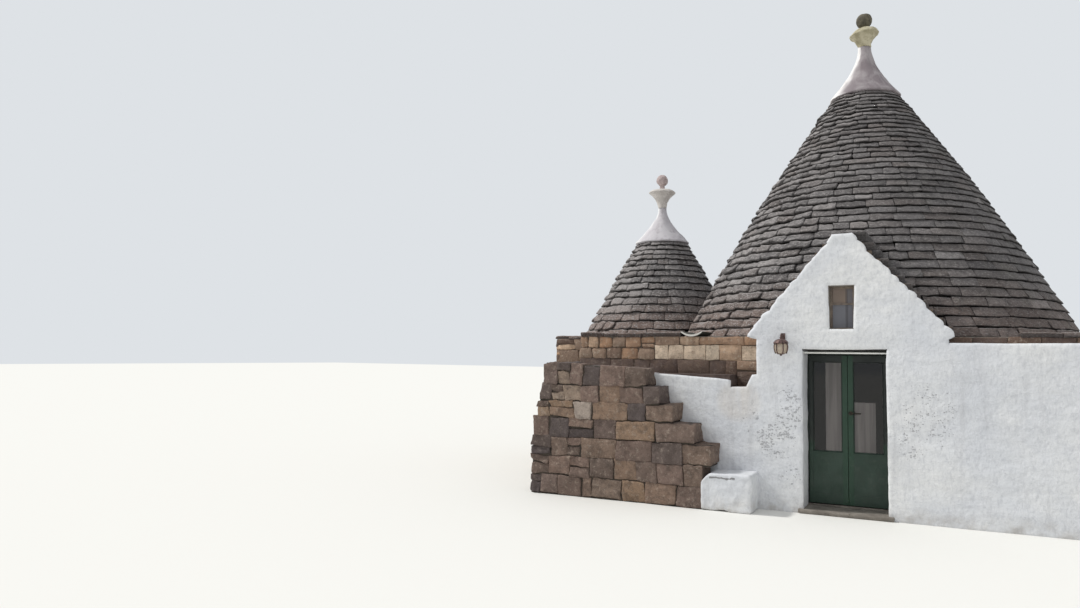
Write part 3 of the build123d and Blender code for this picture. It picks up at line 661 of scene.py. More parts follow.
LIMEWASH = limewash()
SLABS = slabs()
TAN = bare_stone("tan_masonry", TAN_STOPS, (112, 92, 78), (206, 194, 176), (146, 126, 110), 0.35)
STAIR = bare_stone("stair_blocks", STAIR_STOPS, (68, 58, 52), (174, 160, 146), (96, 86, 84), 0.5)
CORE = core_masonry()
DARK_JOINT_AND_SHADE = plain_stone("dark_joint_and_shade", (32, 29, 28), (46, 42, 40), (22, 20, 19))
STAIR_JOINT = plain_stone("stair_joint", (56, 50, 44), (82, 73, 64), (40, 36, 32))
PAVING = plain_stone("worn_paving", (110, 104, 97), (142, 136, 127), (78, 72, 66))
STAINED = plain_stone("stained_stone", (70, 58, 55), (98, 84, 78), (50, 42, 40))
CUP = plain_stone("cup_stone", (150, 143, 116), (192, 185, 160), (104, 96, 74), 9.0)
BALL = plain_stone("ball_stone", (68, 64, 55), (110, 104, 86), (38, 36, 34), 12.0)
SMALL_CUP = plain_stone("small_cup_stone", (188, 183, 178), (214, 209, 204), (146, 138, 130), 9.0)
SMALL_BALL = plain_stone("small_ball_stone", (160, 144, 142), (196, 182, 180), (110, 98, 96), 12.0)
TIMBER = plain_stone("window_timber", (114, 103, 97), (150, 137, 122), (84, 76, 72), 8.0)
GUTTER = gutter_stone()
CAP = streaked_cap("cap_limewash", (232, 230, 229), (124, 115, 119), 0.98)
SMALL_CAP = streaked_cap("small_cap_limewash", (222, 222, 223), (160, 154, 162), 0.62)
GREEN = plain_paint("green_paint", (26, 36, 31), (36, 48, 41))
ENAMEL = plain_paint("white_enamel", (244, 244, 240), (228, 228, 224))
LEAF = leaf_paint()
IRON = metal("dark_iron", (56, 42, 42), (124, 98, 92), 0.6, 0.35)
LEVER = metal("dark_lever", (42, 40, 38), (78, 72, 62), 0.42, 0.8)
GLASS = door_panes()
WINDOW_PANE = window_panes()
LANTERN_PANE = lantern_glass()

NODE_FINISHES = {
    CORE: ("main_wall_right", "main_wall_back", "main_wall_left", "front_wall_right",
           "front_wall_left", "small_wall_front", "small_wall_left", "small_wall_back",
           "alcove_arch", "main_vault", "small_vault", "gable_head", "door_pier_left",
           "door_pier_right"),
    # The door lintel shows as a dark strip above the white bar: painted shade
    DARK_JOINT_AND_SHADE: ("door_lintel",),
    LIMEWASH: ("shoulder_wall_right",),
    STAINED: ("low_white_wall",),
    STAIR_JOINT: tuple("stair_course_%d" % number for number in range(1, STAIR_COURSES + 1)),
    PAVING: ("room_floor", "alcove_floor"),
    GUTTER: ("valley_gutter",),
    GREEN: ("door_frame",),
    LEAF: ("door_leaf_left", "door_leaf_right"),
    GLASS: ("door_glass_left", "door_glass_right"),
    WINDOW_PANE: ("window_glass",),
    TIMBER: ("window_frame",),
    IRON: ("door_hinges",),
    LEVER: ("door_lever", "door_lever_roses"),
    ENAMEL: ("door_top_bar",),
}


def dress_nodes():
    for material, nodes in NODE_FINISHES.items():
        for node in nodes:
            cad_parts[node].data.materials.clear()
            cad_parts[node].data.materials.append(material)


# Roof cones
def cone_radius(share, foot, top, bulge):
    """Outside radius of a cone at a share of its height."""
    return foot + (top - foot) * share + bulge * 4 * share * (1 - share)


def course_share(number, courses):
    """Share of a cone's height below a course; the courses are thicker at the foot."""
    share = number / courses
    return share * (1 + FOOT_GROWTH * (1 - share))


def gable_half(side, share):
    """Half width of the gable on one side at a share of its height."""
    return GABLE_FEET[side] + (GABLE_TOP_HALF - GABLE_FEET[side]) * share


def under_dormer(x, y, z):
    share = np.clip((z - WALL_TOP) / (GABLE_TOP - WALL_TOP), 0, 1)
    half = gable_half(1 if x > 0 else -1, share)
    return y < 0 and z < GABLE_TOP and abs(x) < half - 0.04


def within_main_cone(x, y, z):
    share = (z - WALL_TOP) / (CONE_TOP - WALL_TOP)
    return math.hypot(x, y) < cone_radius(share, *MAIN_CONE) - 0.12


def cone_course(pile, centre, z0, height, foot, head, lengths, tone, hidden, rng):
    """One ring of slabs, their faces leaning back with the roof from radius foot to head."""
    depth, end_gap, bed_gap = 0.16, 0.004, 0.011
    angle = rng.uniform(0, 2 * math.pi)
    end = angle + 2 * math.pi
    while angle < end - 0.02:
        length = rng.uniform(*lengths)
        if end - angle < (length + lengths[0]) / foot:
            length = (end - angle) * foot
        heading = angle + length / foot / 2
        x, y = centre.x + foot * math.cos(heading), centre.y + foot * math.sin(heading)
        angle += length / foot
        if hidden(x, y, z0 + height / 2):
            continue
        # The left side of a cone is the weathered one, with rounder and rougher slabs, and its
        # slabs are also painted lighter there as painted sunlight
        sunlit_weathered = max(0.0, -math.cos(heading - 0.35))
        size = (length - end_gap, depth, height - bed_gap)
        counts = (6, 1, 3) if sunlit_weathered > 0.3 else (5, 1, 2)
        skew = (0.005, 0.009 + 0.014 * sunlit_weathered, 0.008 + 0.004 * sunlit_weathered)
        points, quads = rough_box(size, 0.010 + 0.020 * sunlit_weathered, counts, skew, rng, 3.2 - sunlit_weathered)
        share = points[:, 2] / height + 0.5
        reach = foot + rng.normal(0, 0.003 + 0.007 * sunlit_weathered)
        radial = reach - depth / 2 + points[:, 1] - (foot - head) * share
        turn = heading - points[:, 0] / foot
        placed = np.stack([centre.x + radial * np.cos(turn), centre.y + radial * np.sin(turn),
                           z0 + height / 2 + points[:, 2]], axis=1)
        placed = shake(placed, 0.005 + 0.014 * sunlit_weathered, 0.07, 17)
        # Each slab's tone is raised on the left side as painted sunlight
        pile.add(placed, quads, some_tone(tone + 0.30 * sunlit_weathered, 0.17, rng))


def lay_cone(pile, centre, rows, courses, cone, z1, lengths, tone, hidden, rng):
    """Rings of slabs from one course number up to another; each lip hangs over the one below."""
    lip, tuck = 0.018, 0.008
    for row in range(*rows):
        share, above = course_share(row, courses), course_share(row + 1, courses)
        foot, head = cone_radius(share, *cone) + lip, cone_radius(above, *cone) - tuck
        eave = 0.022 if row == 0 else 0.0
        longer = 1.3 - 0.45 * row / courses
        cone_course(pile, centre, WALL_TOP + share * (z1 - WALL_TOP),
                    (above - share) * (z1 - WALL_TOP), foot + eave, head + eave,
                    (lengths[0] * longer, lengths[1] * longer), tone, hidden, rng)


def cone_slabs():
    """The slabs of both cones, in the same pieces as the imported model's cone rings."""
    rng = np.random.default_rng(11)
    for number, ring in enumerate(("main_cone_lower", "main_cone_middle", "main_cone_upper")):
        pile = Pile()
        lay_cone(pile, Vector((0, 0, 0)), RING_ROWS[number:number + 2], MAIN_COURSES, MAIN_CONE,
                 CONE_TOP, (0.17, 0.37), 0.44, under_dormer, rng)
        pile.build(ring.replace("main_cone", "roof_slabs"), SLABS, "grey_slabs", 0.007, 0.05,
                   20 + number, replaces=(ring,))
    pile = Pile()
    lay_cone(pile, SMALL_CENTRE, (0, SMALL_COURSES), SMALL_COURSES, SMALL_CONE, SMALL_TOP,
             (0.14, 0.32), 0.66, within_main_cone, rng)
    pile.build("small_roof_slabs", SLABS, "grey_slabs", 0.007, 0.05, 31, replaces=("small_cone",))


def cone_backing():
    """The dark inside of the slab joints: a plain cone just behind the slabs' faces."""
    behind, steps = 0.085, 12
    for name, centre, cone, z1 in (("roof_backing", (0, 0), MAIN_CONE, CONE_TOP),
                                   ("small_roof_backing", SMALL_CENTRE, SMALL_CONE, SMALL_TOP)):
        profile = []
        for number in range(steps + 1):
            share = course_share(number, steps)
            profile.append((cone_radius(share, *cone) - behind,
                            WALL_TOP + 0.01 + share * (z1 - WALL_TOP)))
        points, faces = turned(profile, 72, centre)
        add_piece(name, points, faces, DARK_JOINT_AND_SHADE, "grey_slabs")


def dormer_slabs():
    """The slabs over the gable's two slopes, running back from the white front to the cone."""
    rng = np.random.default_rng(23)
    pile = Pile()
    rise = (GABLE_TOP - WALL_TOP) / GABLE_COURSES
    front, lift, gap = FACADE_Y + 0.07, 0.01, 0.004
    for number in range(GABLE_COURSES):
        z0 = WALL_TOP + number * rise + lift
        cone = cone_radius((z0 - WALL_TOP) / (CONE_TOP - WALL_TOP), *MAIN_CONE)
        for side, reach in ((-1, 0.016), (1, 0.022 + 0.13 * (number / GABLE_COURSES) ** 2)):
            half = gable_half(side, number / (GABLE_COURSES - 1))
            back = 0.15 - math.sqrt(max(cone ** 2 - half ** 2, 0.3))
            y = front
            while y < back:
                length = rng.uniform(0.24, 0.46)
                size = (0.3, length - gap, rise - gap)
                points, quads = rough_box(size, 0.010, (2, 3, 1), (0.010, 0.006, 0.004), rng)
                centre = (side * (half + reach - size[0] / 2), y + length / 2, z0 + rise / 2)
                pile.add(points + np.array(centre), quads, some_tone(0.3, 0.12, rng))
                y += length
    ridge, left, right = 0.055, -0.12, 0.25
    size = (right - left, 0.5, ridge)
    for y in np.arange(FACADE_Y + 0.05, -1.7, size[1]):
        points, quads = rough_box(size, 0.016, (5, 6, 1), (0.012, 0.006, 0.006), rng)
        centre = ((left + right) / 2, y + size[1] / 2, GABLE_TOP + ridge / 2 - 0.006)
        pile.add(points + np.array(centre), quads, 0.45)
    pile.build("dormer_slabs", SLABS, "grey_slabs", 0.005, 0.045, 41)


# Limewashed faces
def gable_edge(side):
    """The scalloped slope of the white gable from foot to top, as (x, z) points."""
    rise = (GABLE_TOP - WALL_TOP) / GABLE_COURSES
    step = (GABLE_FEET[side] - GABLE_TOP_HALF) / (GABLE_COURSES - 1)
    deep, power = (0.006, 2.4) if side > 0 else (0.004, 1.3)
    rng = np.random.default_rng(5 + side)
    levels = np.arange(GABLE_COURSES + 1) + rng.uniform(0.0, 0.38, GABLE_COURSES + 1)
    levels[[0, -1]] = 0, GABLE_COURSES
    points = []
    for number in range(GABLE_COURSES):
        half = GABLE_FEET[side] - number * step
        drop = step if number < GABLE_COURSES - 1 else 0.04
        swell, tip = deep * rng.uniform(0.3, 2.0), rng.uniform(0.0, 0.024)
        curve = power * rng.uniform(0.6, 1.4)
        for share in np.linspace(0, 1, 6)[:-1]:
            x = half - drop * share ** curve + swell * math.sin(math.pi * share)
            level = levels[number] + share * (levels[number + 1] - levels[number])
            points.append((side * (x + tip * (1 - share) ** 3), WALL_TOP + level * rise))
    return points


def front_outline():
    """The white front, anticlockwise from the lower left, with how far each edge runs back."""
    deep, shallow, none = BAND_Y - FACADE_Y - 0.002, 0.09, 0.004
    reveal = DOOR_Y - FACADE_Y - 0.004
    # The plaster stops short of the door head, so the dark lintel shows as a strip of painted shade
    # above the white bar
    head, lip = DOOR_HEAD + HEAD_SHADE_STRIP, WALL_TOP - 0.03
    points = [(TERRACE_X, 0, none), (-DOOR_HALF, 0, reveal), (-DOOR_HALF, head, none),
              (DOOR_HALF, head, reveal), (DOOR_HALF, 0, none), (RIGHT_X, 0, none),
              (RIGHT_X, SHOULDER_TOP, deep), (PORCH_RIGHT, SHOULDER_TOP, deep),
              (PORCH_RIGHT, lip, shallow)]
    points += [(x, z, shallow) for x, z in gable_edge(1)]
    points += [(GABLE_TOP_HALF * 0.75, GABLE_TOP + 0.002, shallow),
               (-GABLE_TOP_HALF * 0.8, GABLE_TOP - 0.004, shallow)]
    points += [(x, z, shallow) for x, z in reversed(gable_edge(-1))]
    points += [(PORCH_LEFT, lip, deep), (PORCH_LEFT, LOW_WALL_TOP, deep),
               (NOTCH_RIGHT, LOW_WALL_TOP, deep), (NOTCH_RIGHT - NOTCH_CHAMFER, NOTCH_LOW, deep),
               (NOTCH_LEFT, NOTCH_LOW, deep)]
    # The low wall's top sinks beside the notch and is uneven all along
    rng = np.random.default_rng(9)
    sag, sag_points, uneven = 0.066, 9, 0.006
    for number, x in enumerate(np.linspace(NOTCH_LEFT, TERRACE_X, 14)):
        drop = sag * max(0.0, 1 - number / sag_points) ** 2 + rng.uniform(0, uneven)
        points.append((x, LOW_WALL_TOP - drop, deep))
    return points


def split_edges(loop, step):
    """The loop with its long edges cut into pieces no longer than step."""
    cut = []
    for (u0, v0, depth), (u1, v1, _) in zip(loop, loop[1:] + loop[:1]):
        count = max(1, math.ceil(math.hypot(u1 - u0, v1 - v0) / step))
        for number in range(count):
            share = number / count
            cut.append((u0 + (u1 - u0) * share, v0 + (v1 - v0) * share, depth))
    return cut


def inside(spots, segments):
    """Which spots lie within the loops, by counting crossings."""
    result = np.zeros(len(spots), dtype=bool)
    u, v = spots[:, 0], spots[:, 1]
    for (u0, v0), (u1, v1) in segments:
        crosses = (v0 > v) != (v1 > v)
        if v0 != v1:
            result ^= crosses & (u < (u1 - u0) * (v - v0) / (v1 - v0) + u0)
    return result


def edge_gaps(spots, segments):
    """How far each spot is from the nearest edge."""
    gaps = np.full(len(spots), 9.0)
    for start, end in segments:
        a, along = np.array(start), np.array(end) - np.array(start)
        share = np.clip((spots - a) @ along / max(along @ along, 1e-12), 0, 1)
        gaps = np.minimum(gaps, np.linalg.norm(spots - a - share[:, None] * along, axis=1))
    return gaps


def edge_rings(loops):
    """The corners of all loops, their outward normals, depths, joined pairs and segments."""
    rim, normals, depths, pairs, segments = [], [], [], [], []
    for loop in loops:
        start, count = len(rim), len(loop)
        pairs += [(start + number, start + (number + 1) % count) for number in range(count)]
        for before, here, after in zip(loop[-1:] + loop[:-1], loop, loop[1:] + loop[:1]):
            along = Vector((after[0] - before[0], after[1] - before[1])).normalized()
            rim.append(here[:2])
            normals.append((along.y, -along.x))
            depths.append(here[2])
            segments.append((here[:2], after[:2]))
    return np.array(rim), np.array(normals), depths, pairs, segments


def filled(rim, normals, pairs, segments, rng):
    """Points and triangles over all within the loops: a row beside each edge, then a grid."""
    lows, highs = rim.min(axis=0), rim.max(axis=0)
    grid = np.mgrid[lows[0]:highs[0]:PLASTER_STEP, lows[1]:highs[1]:PLASTER_STEP]
    grid = grid.reshape(2, -1).T
    grid = grid + rng.uniform(-0.3, 0.3, grid.shape) * PLASTER_STEP
    spots = [rim]
    for candidates, distance in ((rim - normals * SOFT_EDGE, SOFT_EDGE * 0.8),
                                 (grid, PLASTER_STEP * 0.6)):
        candidates = candidates[inside(candidates, segments)]
        spots.append(candidates[edge_gaps(candidates, segments) > distance])
    result = delaunay_2d_cdt([Vector(spot) for spot in np.concatenate(spots)], pairs, [], 0, 1e-6)
    flat = np.array([tuple(vertex) for vertex in result[0]])
    triangles = np.array([face for face in result[2] if len(face) == 3])
    return flat, triangles[inside(flat[triangles].mean(axis=1), segments)].tolist()


def plaster(name, outline, holes, place, seed):
    """A limewashed wall face with soft edges. Each loop has (across, up, run back) points."""
    loops = [split_edges(loop, PLASTER_STEP) for loop in [outline] + holes]
    rim, normals, depths, pairs, segments = edge_rings(loops)
    flat, faces = filled(rim, normals, pairs, segments, np.random.default_rng(seed))
    relief = wall_relief(flat, seed)
    flat[:len(rim)] += normals * relief[:len(rim), None]
    back = np.where(np.arange(len(flat)) < len(rim), SOFT_EDGE * 0.5, 0.0)
    points = [place(u, v, w) for (u, v), w in zip(flat, back - relief)]
    for pair in pairs:
        add_return(points, faces, pair, flat, normals, depths[pair[0]], place, seed)
    add_piece(name, points, faces, LIMEWASH, "limewash")


def add_return(points, faces, pair, flat, normals, depth, place, seed):
    """The strip that runs back from one edge of a plaster face."""
    first = SOFT_EDGE * 1.5
    rows = max(2, round(depth / 0.05) + 1)
    strip = [pair]
    for level in first + np.linspace(0, 1, rows) * max(depth - first, 0.002):
        for corner in pair:
            u, v = flat[corner]
            wobble = 0.004 * value_noise(np.array([[u, level, v]]), 0.12, seed + 7)[0]
            u, v = flat[corner] + normals[corner] * wobble
            points.append(place(u, v, level))
        strip.append((len(points) - 2, len(points) - 1))
    for (a, b), (c, d) in zip(strip, strip[1:]):
        faces.append([a, c, d, b])


def wall_relief(flat, seed):
    """How far the limewashed rubble stands proud of the wall plane, in long low lumps."""
    spots = np.stack([flat[:, 0] * 0.45, np.zeros(len(flat)), flat[:, 1]], axis=1)
    swell = 0.005 * value_noise(spots, 0.5, seed) + 0.005 * value_noise(spots, 0.19, seed + 1)
    fine = 0.0025 * value_noise(spots, 0.09, seed + 2)
    joints = rubble_joints(flat / np.array((0.34, 0.17)), seed + 3)
    return 0.015 + swell + fine - 0.0014 * joints


def white_walls():
    """The white front with its window hole, and the white right side."""
    ring, hole_depth = 0.014, 0.02
    left, right = WINDOW_LOW.x - ring, WINDOW_HIGH.x + ring
    sill, head = WINDOW_LOW.z - ring, WINDOW_HIGH.z + ring
    window = [(u, v, hole_depth) for u, v in ((left, sill), (left, head), (right, head),
                                              (right, sill))]
    place, _ = wall_place((0, FACADE_Y), (1, FACADE_Y))
    plaster("white_front", front_outline(), [window], place, 3)
    place, length = wall_place((RIGHT_X, FACADE_Y), (RIGHT_X, BACK_Y))
    corner = BAND_Y - FACADE_Y
    side = [(0, 0, 0.02), (length, 0, 0.02), (length, WALL_TOP, 0.05), (corner, WALL_TOP, 0.05),
            (corner, SHOULDER_TOP, 0.05), (0, SHOULDER_TOP, 0.02)]
    plaster("white_right_side", side, [], place, 8)


# Bare masonry
def wall_place(start, end):
    """How to place (along, up, inward) on a wall face, its inside on the left of the walk."""
    start, end = Vector(start), Vector(end)
    along = (end - start).normalized()
    inward = Vector((-along.y, along.x))

    def place(u, v, w):
        return np.stack([start.x + along.x * u + inward.x * w,
                         start.y + along.y * u + inward.y * w, v + 0.0 * u], axis=-1)

    return place, (end - start).length


def along_line(start, end, lengths, spare, rng):
    """Start and length of each stone along a line; the last one takes what would be left over."""
    while start < end - 0.02:
        length = rng.uniform(*lengths)
        if end - start < length + spare:
            length = end - start
        yield start, length
        start += length


def stone_row(pile, place, across, up, lengths, tones, rng, depth=0.1, proud=0.016, edge=0.012,
              skew=0.007, split=0.0, counts=(3, 1, 2), gap=0.006):
    """One course of blocks along a wall, a little proud of it; some are two thinner stones."""
    for start, length in along_line(*across, lengths, lengths[0] * 0.8, rng):
        beds = list(up)
        if rng.random() < split:
            beds.insert(1, up[0] + (up[1] - up[0]) * rng.uniform(0.38, 0.62))
        for low_z, high_z in zip(beds, beds[1:]):
            size = (length - gap, depth, high_z - low_z - gap)
            points, quads = rough_box(size, edge, counts, (skew, skew * 0.8, skew), rng)
            w = depth / 2 - proud + rng.normal(0, 0.003) - points[:, 1]
            placed = place(start + length / 2 - points[:, 0],
                           (low_z + high_z) / 2 + points[:, 2], w)
            pile.add(placed, quads, some_tone(*tones, rng))


def uneven_levels(z0, z1, least, most, rng):
    """Course joints from z0 to z1, unevenly spaced."""
    heights = []
    while sum(heights) < z1 - z0 - least / 2:
        heights.append(rng.uniform(least, most))
    return z0 + np.concatenate(([0], np.cumsum(heights))) * (z1 - z0) / sum(heights)


def band():
    """The bare band above the low white wall: a stained rough course, ashlar, a thin top one."""
    rng = np.random.default_rng(17)
    pile = Pile()
    place, _ = wall_place((0, BAND_Y), (1, BAND_Y))
    foot, stain_top, ashlar_top = LOW_WALL_TOP - 0.02, LOW_WALL_TOP + 0.17, LOW_WALL_TOP + 0.36
    notch_top, middle_z = stain_top - 0.12, (stain_top + WALL_TOP) / 2
    left, stain_right, rubble_right = TERRACE_X - 0.012, -1.42, -2.35
    tight = {"edge": 0.010, "gap": 0.002}
    rough = {"edge": 0.024, "skew": 0.012, "proud": 0.022, "split": 0.3}

    def lay(across, up, lengths, tones, **shape):
        stone_row(pile, place, across, up, lengths, tones, rng, **shape)

    lay((left, stain_right), (foot, stain_top), (0.22, 0.5), (0.06, 0.05), skew=0.008, **tight)
    lay((stain_right, NOTCH_LEFT), (foot, stain_top), (0.10, 0.14), (0.10, 0.04), **tight)
    lay((NOTCH_LEFT, PORCH_LEFT), (NOTCH_LOW - 0.02, notch_top), (0.2, 0.3), (0.05, 0.04),
        skew=0.012)
    lay((NOTCH_LEFT, PORCH_LEFT), (notch_top, stain_top), (0.2, 0.3), (0.5, 0.06))
    for up in ((stain_top, middle_z), (middle_z, WALL_TOP)):
        lay((left, rubble_right), up, (0.12, 0.28), (0.42, 0.18), **rough)
    lay((rubble_right, PORCH_LEFT), (stain_top, ashlar_top), (0.16, 0.30), (0.84, 0.12),
        edge=0.008)
    lay((rubble_right, PORCH_LEFT), (ashlar_top, WALL_TOP), (0.2, 0.4), (0.56, 0.06), edge=0.008)
    lay((PORCH_RIGHT, RIGHT_X), (SHOULDER_TOP - 0.02, WALL_TOP), (0.2, 0.4), (0.10, 0.05))
    pile.build("band_masonry", TAN, "tan_limestone", 0.007, 0.04, 51)


def bare_walls():
    """The bare rubble of the left and back walls, corner by corner round the plan."""
    rng = np.random.default_rng(29)
    past = 0.012
    corners = ((RIGHT_X, BACK_Y), (MAIN_LEFT_X, BACK_Y), (MAIN_LEFT_X, SMALL_BACK_Y),
               (SMALL_LEFT_X, SMALL_BACK_Y), (SMALL_LEFT_X, SMALL_FRONT_Y),
               (TERRACE_X, SMALL_FRONT_Y), (TERRACE_X, BAND_Y))
    walls = (("back", 0, past), ("main_left", past, 0), ("small_back", 0, past),
             ("small_left", past, past), ("small_front", past, 0), ("terrace", 0, past))
    for number, (name, before, beyond) in enumerate(walls):
        pile = Pile()
        place, length = wall_place(corners[number], corners[number + 1])
        levels = uneven_levels(0, WALL_TOP, 0.14, 0.26, rng)
        for up in zip(levels, levels[1:]):
            stone_row(pile, place, (-before, length + beyond), up, (0.16, 0.40), (0.42, 0.2), rng,
                      edge=0.020, skew=0.018, split=0.35)
        pile.build(name + "_masonry", TAN, "tan_limestone", 0.009, 0.05, 61 + number)


def coping():
    """The thin grey slabs that edge the flat ledges beside the cones."""
    rng = np.random.default_rng(37)
    pile = Pile()
    depth, thick, over, gap = 0.24, 0.055, 0.03, 0.008
    inset = depth - over
    reach, small_reach = EAVE_RADIUS * 0.66, 0.8
    small_x, small_y = SMALL_CENTRE.x - small_reach, SMALL_CENTRE.y
    runs = (((TERRACE_X, BAND_Y), (GUTTER_LEFT, BAND_Y)), ((reach, BAND_Y), (RIGHT_X, BAND_Y)),
            ((RIGHT_X, BAND_Y + inset), (RIGHT_X, -reach)), ((RIGHT_X, reach), (RIGHT_X, BACK_Y)),
            ((RIGHT_X - inset, BACK_Y), (reach, BACK_Y)), ((-reach, BACK_Y), (MAIN_LEFT_X, BACK_Y)),
            ((MAIN_LEFT_X, BACK_Y - inset), (MAIN_LEFT_X, reach)),
            ((small_x, SMALL_BACK_Y), (SMALL_LEFT_X, SMALL_BACK_Y)),
            ((SMALL_LEFT_X, SMALL_BACK_Y - inset), (SMALL_LEFT_X, small_y + small_reach)),
            ((SMALL_LEFT_X, small_y - small_reach), (SMALL_LEFT_X, SMALL_FRONT_Y)),
            ((SMALL_LEFT_X + inset, SMALL_FRONT_Y), (small_x, SMALL_FRONT_Y)),
            ((TERRACE_X, SMALL_FRONT_Y - 0.1), (TERRACE_X, BAND_Y + inset)))
    for start, end in runs:
        place, total = wall_place(start, end)
        for gone, length in along_line(0.0, total, (0.18, 0.42), 0.12, rng):
            size = (length - gap, depth, thick)
            points, quads = rough_box(size, 0.014, (3, 2, 1), (0.008, 0.015, 0.007), rng)
            level = WALL_TOP + thick / 2 - 0.002 + rng.normal(0, 0.004)
            placed = place(gone + length / 2 - points[:, 0], level + points[:, 2],
                           depth / 2 - over - points[:, 1])
            pile.add(placed, quads, some_tone(0.6, 0.2, rng))
    pile.build("ledge_coping", SLABS, "grey_slabs", 0.007, 0.04, 71)


def stair_left(z):
    """Left end of the stair, which leans back more the higher it gets."""
    return STAIR_LEFT + STAIR_BATTER * (z / STAIR_TOP) ** 2


def stair_blocks():
    """The big rough blocks of the stair, smaller and rougher at its left."""
    rng = np.random.default_rng(43)
    pile = Pile()
    proud, lift, rubble_right = 0.022, 0.012, -2.95
    for number in range(1, STAIR_COURSES + 1):
        lowest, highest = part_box("stair_course_%d" % number)
        top = STAIR_TOP if number == STAIR_COURSES else highest.z
        rows = 2 if top - lowest.z > 0.35 else 1
        flat_place, _ = wall_place((0, lowest.y), (1, lowest.y))
        shape = {"depth": highest.y - lowest.y + proud, "proud": proud, "counts": (9, 3, 6)}

        def place(u, v, w):
            share = np.clip((highest.x - u) / (highest.x - lowest.x), 0, 1)
            grow = np.clip((v - lowest.z) / (top - lowest.z), 0, 1.1)
            return flat_place(u, v + (highest.z - top) * share * grow, w)

        for row in range(rows):
            z0, z1 = (lowest.z + (top - lowest.z) * bed / rows + lift for bed in (row, row + 1))
            left = stair_left((z0 + z1) / 2) - 0.014
            joint = rubble_right + rng.uniform(-0.15, 0.15)
            stone_row(pile, place, (left, joint), (z0, z1), (0.15, 0.36), (0.45, 0.28), rng,
                      edge=0.010, skew=0.020, split=0.5, **shape)
            stone_row(pile, place, (joint, highest.x + proud), (z0, z1), (0.24, 0.54),
                      (0.62 - 0.03 * number, 0.26), rng, edge=0.009, skew=0.014, **shape)
    pile.points = [shake(points, 0.008, 0.035, 83) for points in pile.points]
    pile.build("stair_blocks", STAIR, "stair_stone", 0.012, 0.09, 81)


# Pinnacles, step and threshold
def through(places, levels, count):
    """Radii on a smooth curve through a few (radius, level) places, from the first to the last."""
    curve = np.polyfit(levels, places, len(levels) - 1)
    shares = np.linspace(levels[0], levels[-1], count)
    return zip(np.polyval(curve, shares), shares)


def worn(profile, segments, centre, coarse, fine, seed):
    """A turned stone with coarse and fine wear, each a depth and the size of its lumps."""
    points, faces = turned(profile, segments, centre)
    return shake(shake(points, *coarse, seed), *fine, seed + 3), faces


def flared_cap(prefix, centre, neck, material, seed):
    """A limewashed cap: a short lip at its foot, then a flare up to the neck."""
    cap_low, cap_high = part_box(prefix + "_cap")
    foot, height, lip = cap_high.x - centre.x, cap_high.z - cap_low.z, 0.018
    radii = (foot, (foot + neck) * 0.40, neck * 1.14, neck)
    profile = [(foot * 0.99, cap_low.z), (foot, cap_low.z + lip * 0.5)]
    profile += [(radius, cap_low.z + lip + share * (height - lip))
                for radius, share in through(radii, (0.0, 0.45, 0.85, 1.0), 26)]
    points, faces = worn(profile, 56, centre, (0.008, 0.12), (0.004, 0.04), seed)
    add_piece(prefix + "_white_cap", points, faces, material, "limewash", (prefix + "_cap",))


def stone_cup(prefix, centre, neck, rim_share, tilt, material, seed):
    """A cup that opens from the neck to its rim, with a low dome on top, tilted as a whole."""
    cup_low, cup_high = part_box(prefix + "_cup")
    radius, rise = cup_high.x - centre.x, (cup_high.z - cup_low.z) * rim_share
    rim, dome, seam = cup_low.z + rise, cup_high.z - cup_low.z - rise, 0.014
    radii = (neck, neck + (radius - neck) * 0.38, radius)
    profile = [(wide, cup_low.z + share * rise)
               for wide, share in through(radii, (0.0, 0.62, 1.0), 14)]
    profile += [(radius + 0.003, rim + 0.008), (radius - 0.006, rim + 0.018)]
    profile += [(radius * (1 - 0.40 * share),
                 rim + seam + (dome - seam) * math.sin(share * math.pi / 2))
                for share in np.linspace(0.15, 1, 6)]
    profile.append((0.03, cup_high.z))
    points, faces = worn(profile, 44, centre, (0.009, 0.09), (0.005, 0.03), seed)
    lean = np.clip((points[:, 2] - cup_low.z) / rise, 0, 1)
    points[:, 2] += tilt * (points[:, 0] - centre.x) * lean
    add_piece(prefix + "_worn_cup", points, faces, material, "pinnacle_stone", (prefix + "_cup",))


def stone_ball(prefix, centre, material, seed):
    """A ball on a short stem, a little flat on top."""
    ball_low, ball_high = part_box(prefix + "_ball")
    radius, flat, stem = (ball_high.x - ball_low.x) / 2, 0.012, 0.042
    centre_z = ball_high.z + flat - radius
    profile = [(stem * 1.1, ball_low.z - 0.012), (stem, ball_low.z + 0.006)]
    for across, up in (polar(radius, angle) for angle in np.linspace(-66, 64, 20)):
        profile.append((across, centre_z + up))
    profile += [(radius * 0.25, ball_high.z), (0.01, ball_high.z)]
    points, faces = worn(profile, 40, centre, (0.006, 0.08), (0.003, 0.025), seed)
    add_piece(prefix + "_worn_ball", points, faces, material, "pinnacle_stone",
              (prefix + "_ball",))


def pinnacle(prefix, neck, rim_share, materials, tilt, seed):
    """A cap, a cup and a ball in place of the three plain ones."""
    centre = middle(prefix + "_cap")
    flared_cap(prefix, centre, neck, materials[0], seed)
    stone_cup(prefix, centre, neck, rim_share, tilt, materials[1], seed + 5)
    stone_ball(prefix, centre, materials[2], seed + 11)


def step_block():
    """The white step: soft edges, its left shoulder worn to a slope."""
    shoulder, slope = 0.10, 0.26
    points, quads = rounded_box(STEP_HIGH - STEP_LOW, 0.024, (26, 16, 18))
    points = points + np.array(middle("step_block"))
    worn = np.clip((STEP_LOW.x + shoulder - points[:, 0]) / shoulder, 0, 1) ** 1.1
    points[:, 2] *= 1 - slope * worn
    points = shake(shake(points, 0.010, 0.16, 91), 0.006, 0.05, 95)
    points[:, 2] = np.maximum(points[:, 2], 0.0)
    add_piece("white_step", points, quads, LIMEWASH, "limewash", ("step_block",))


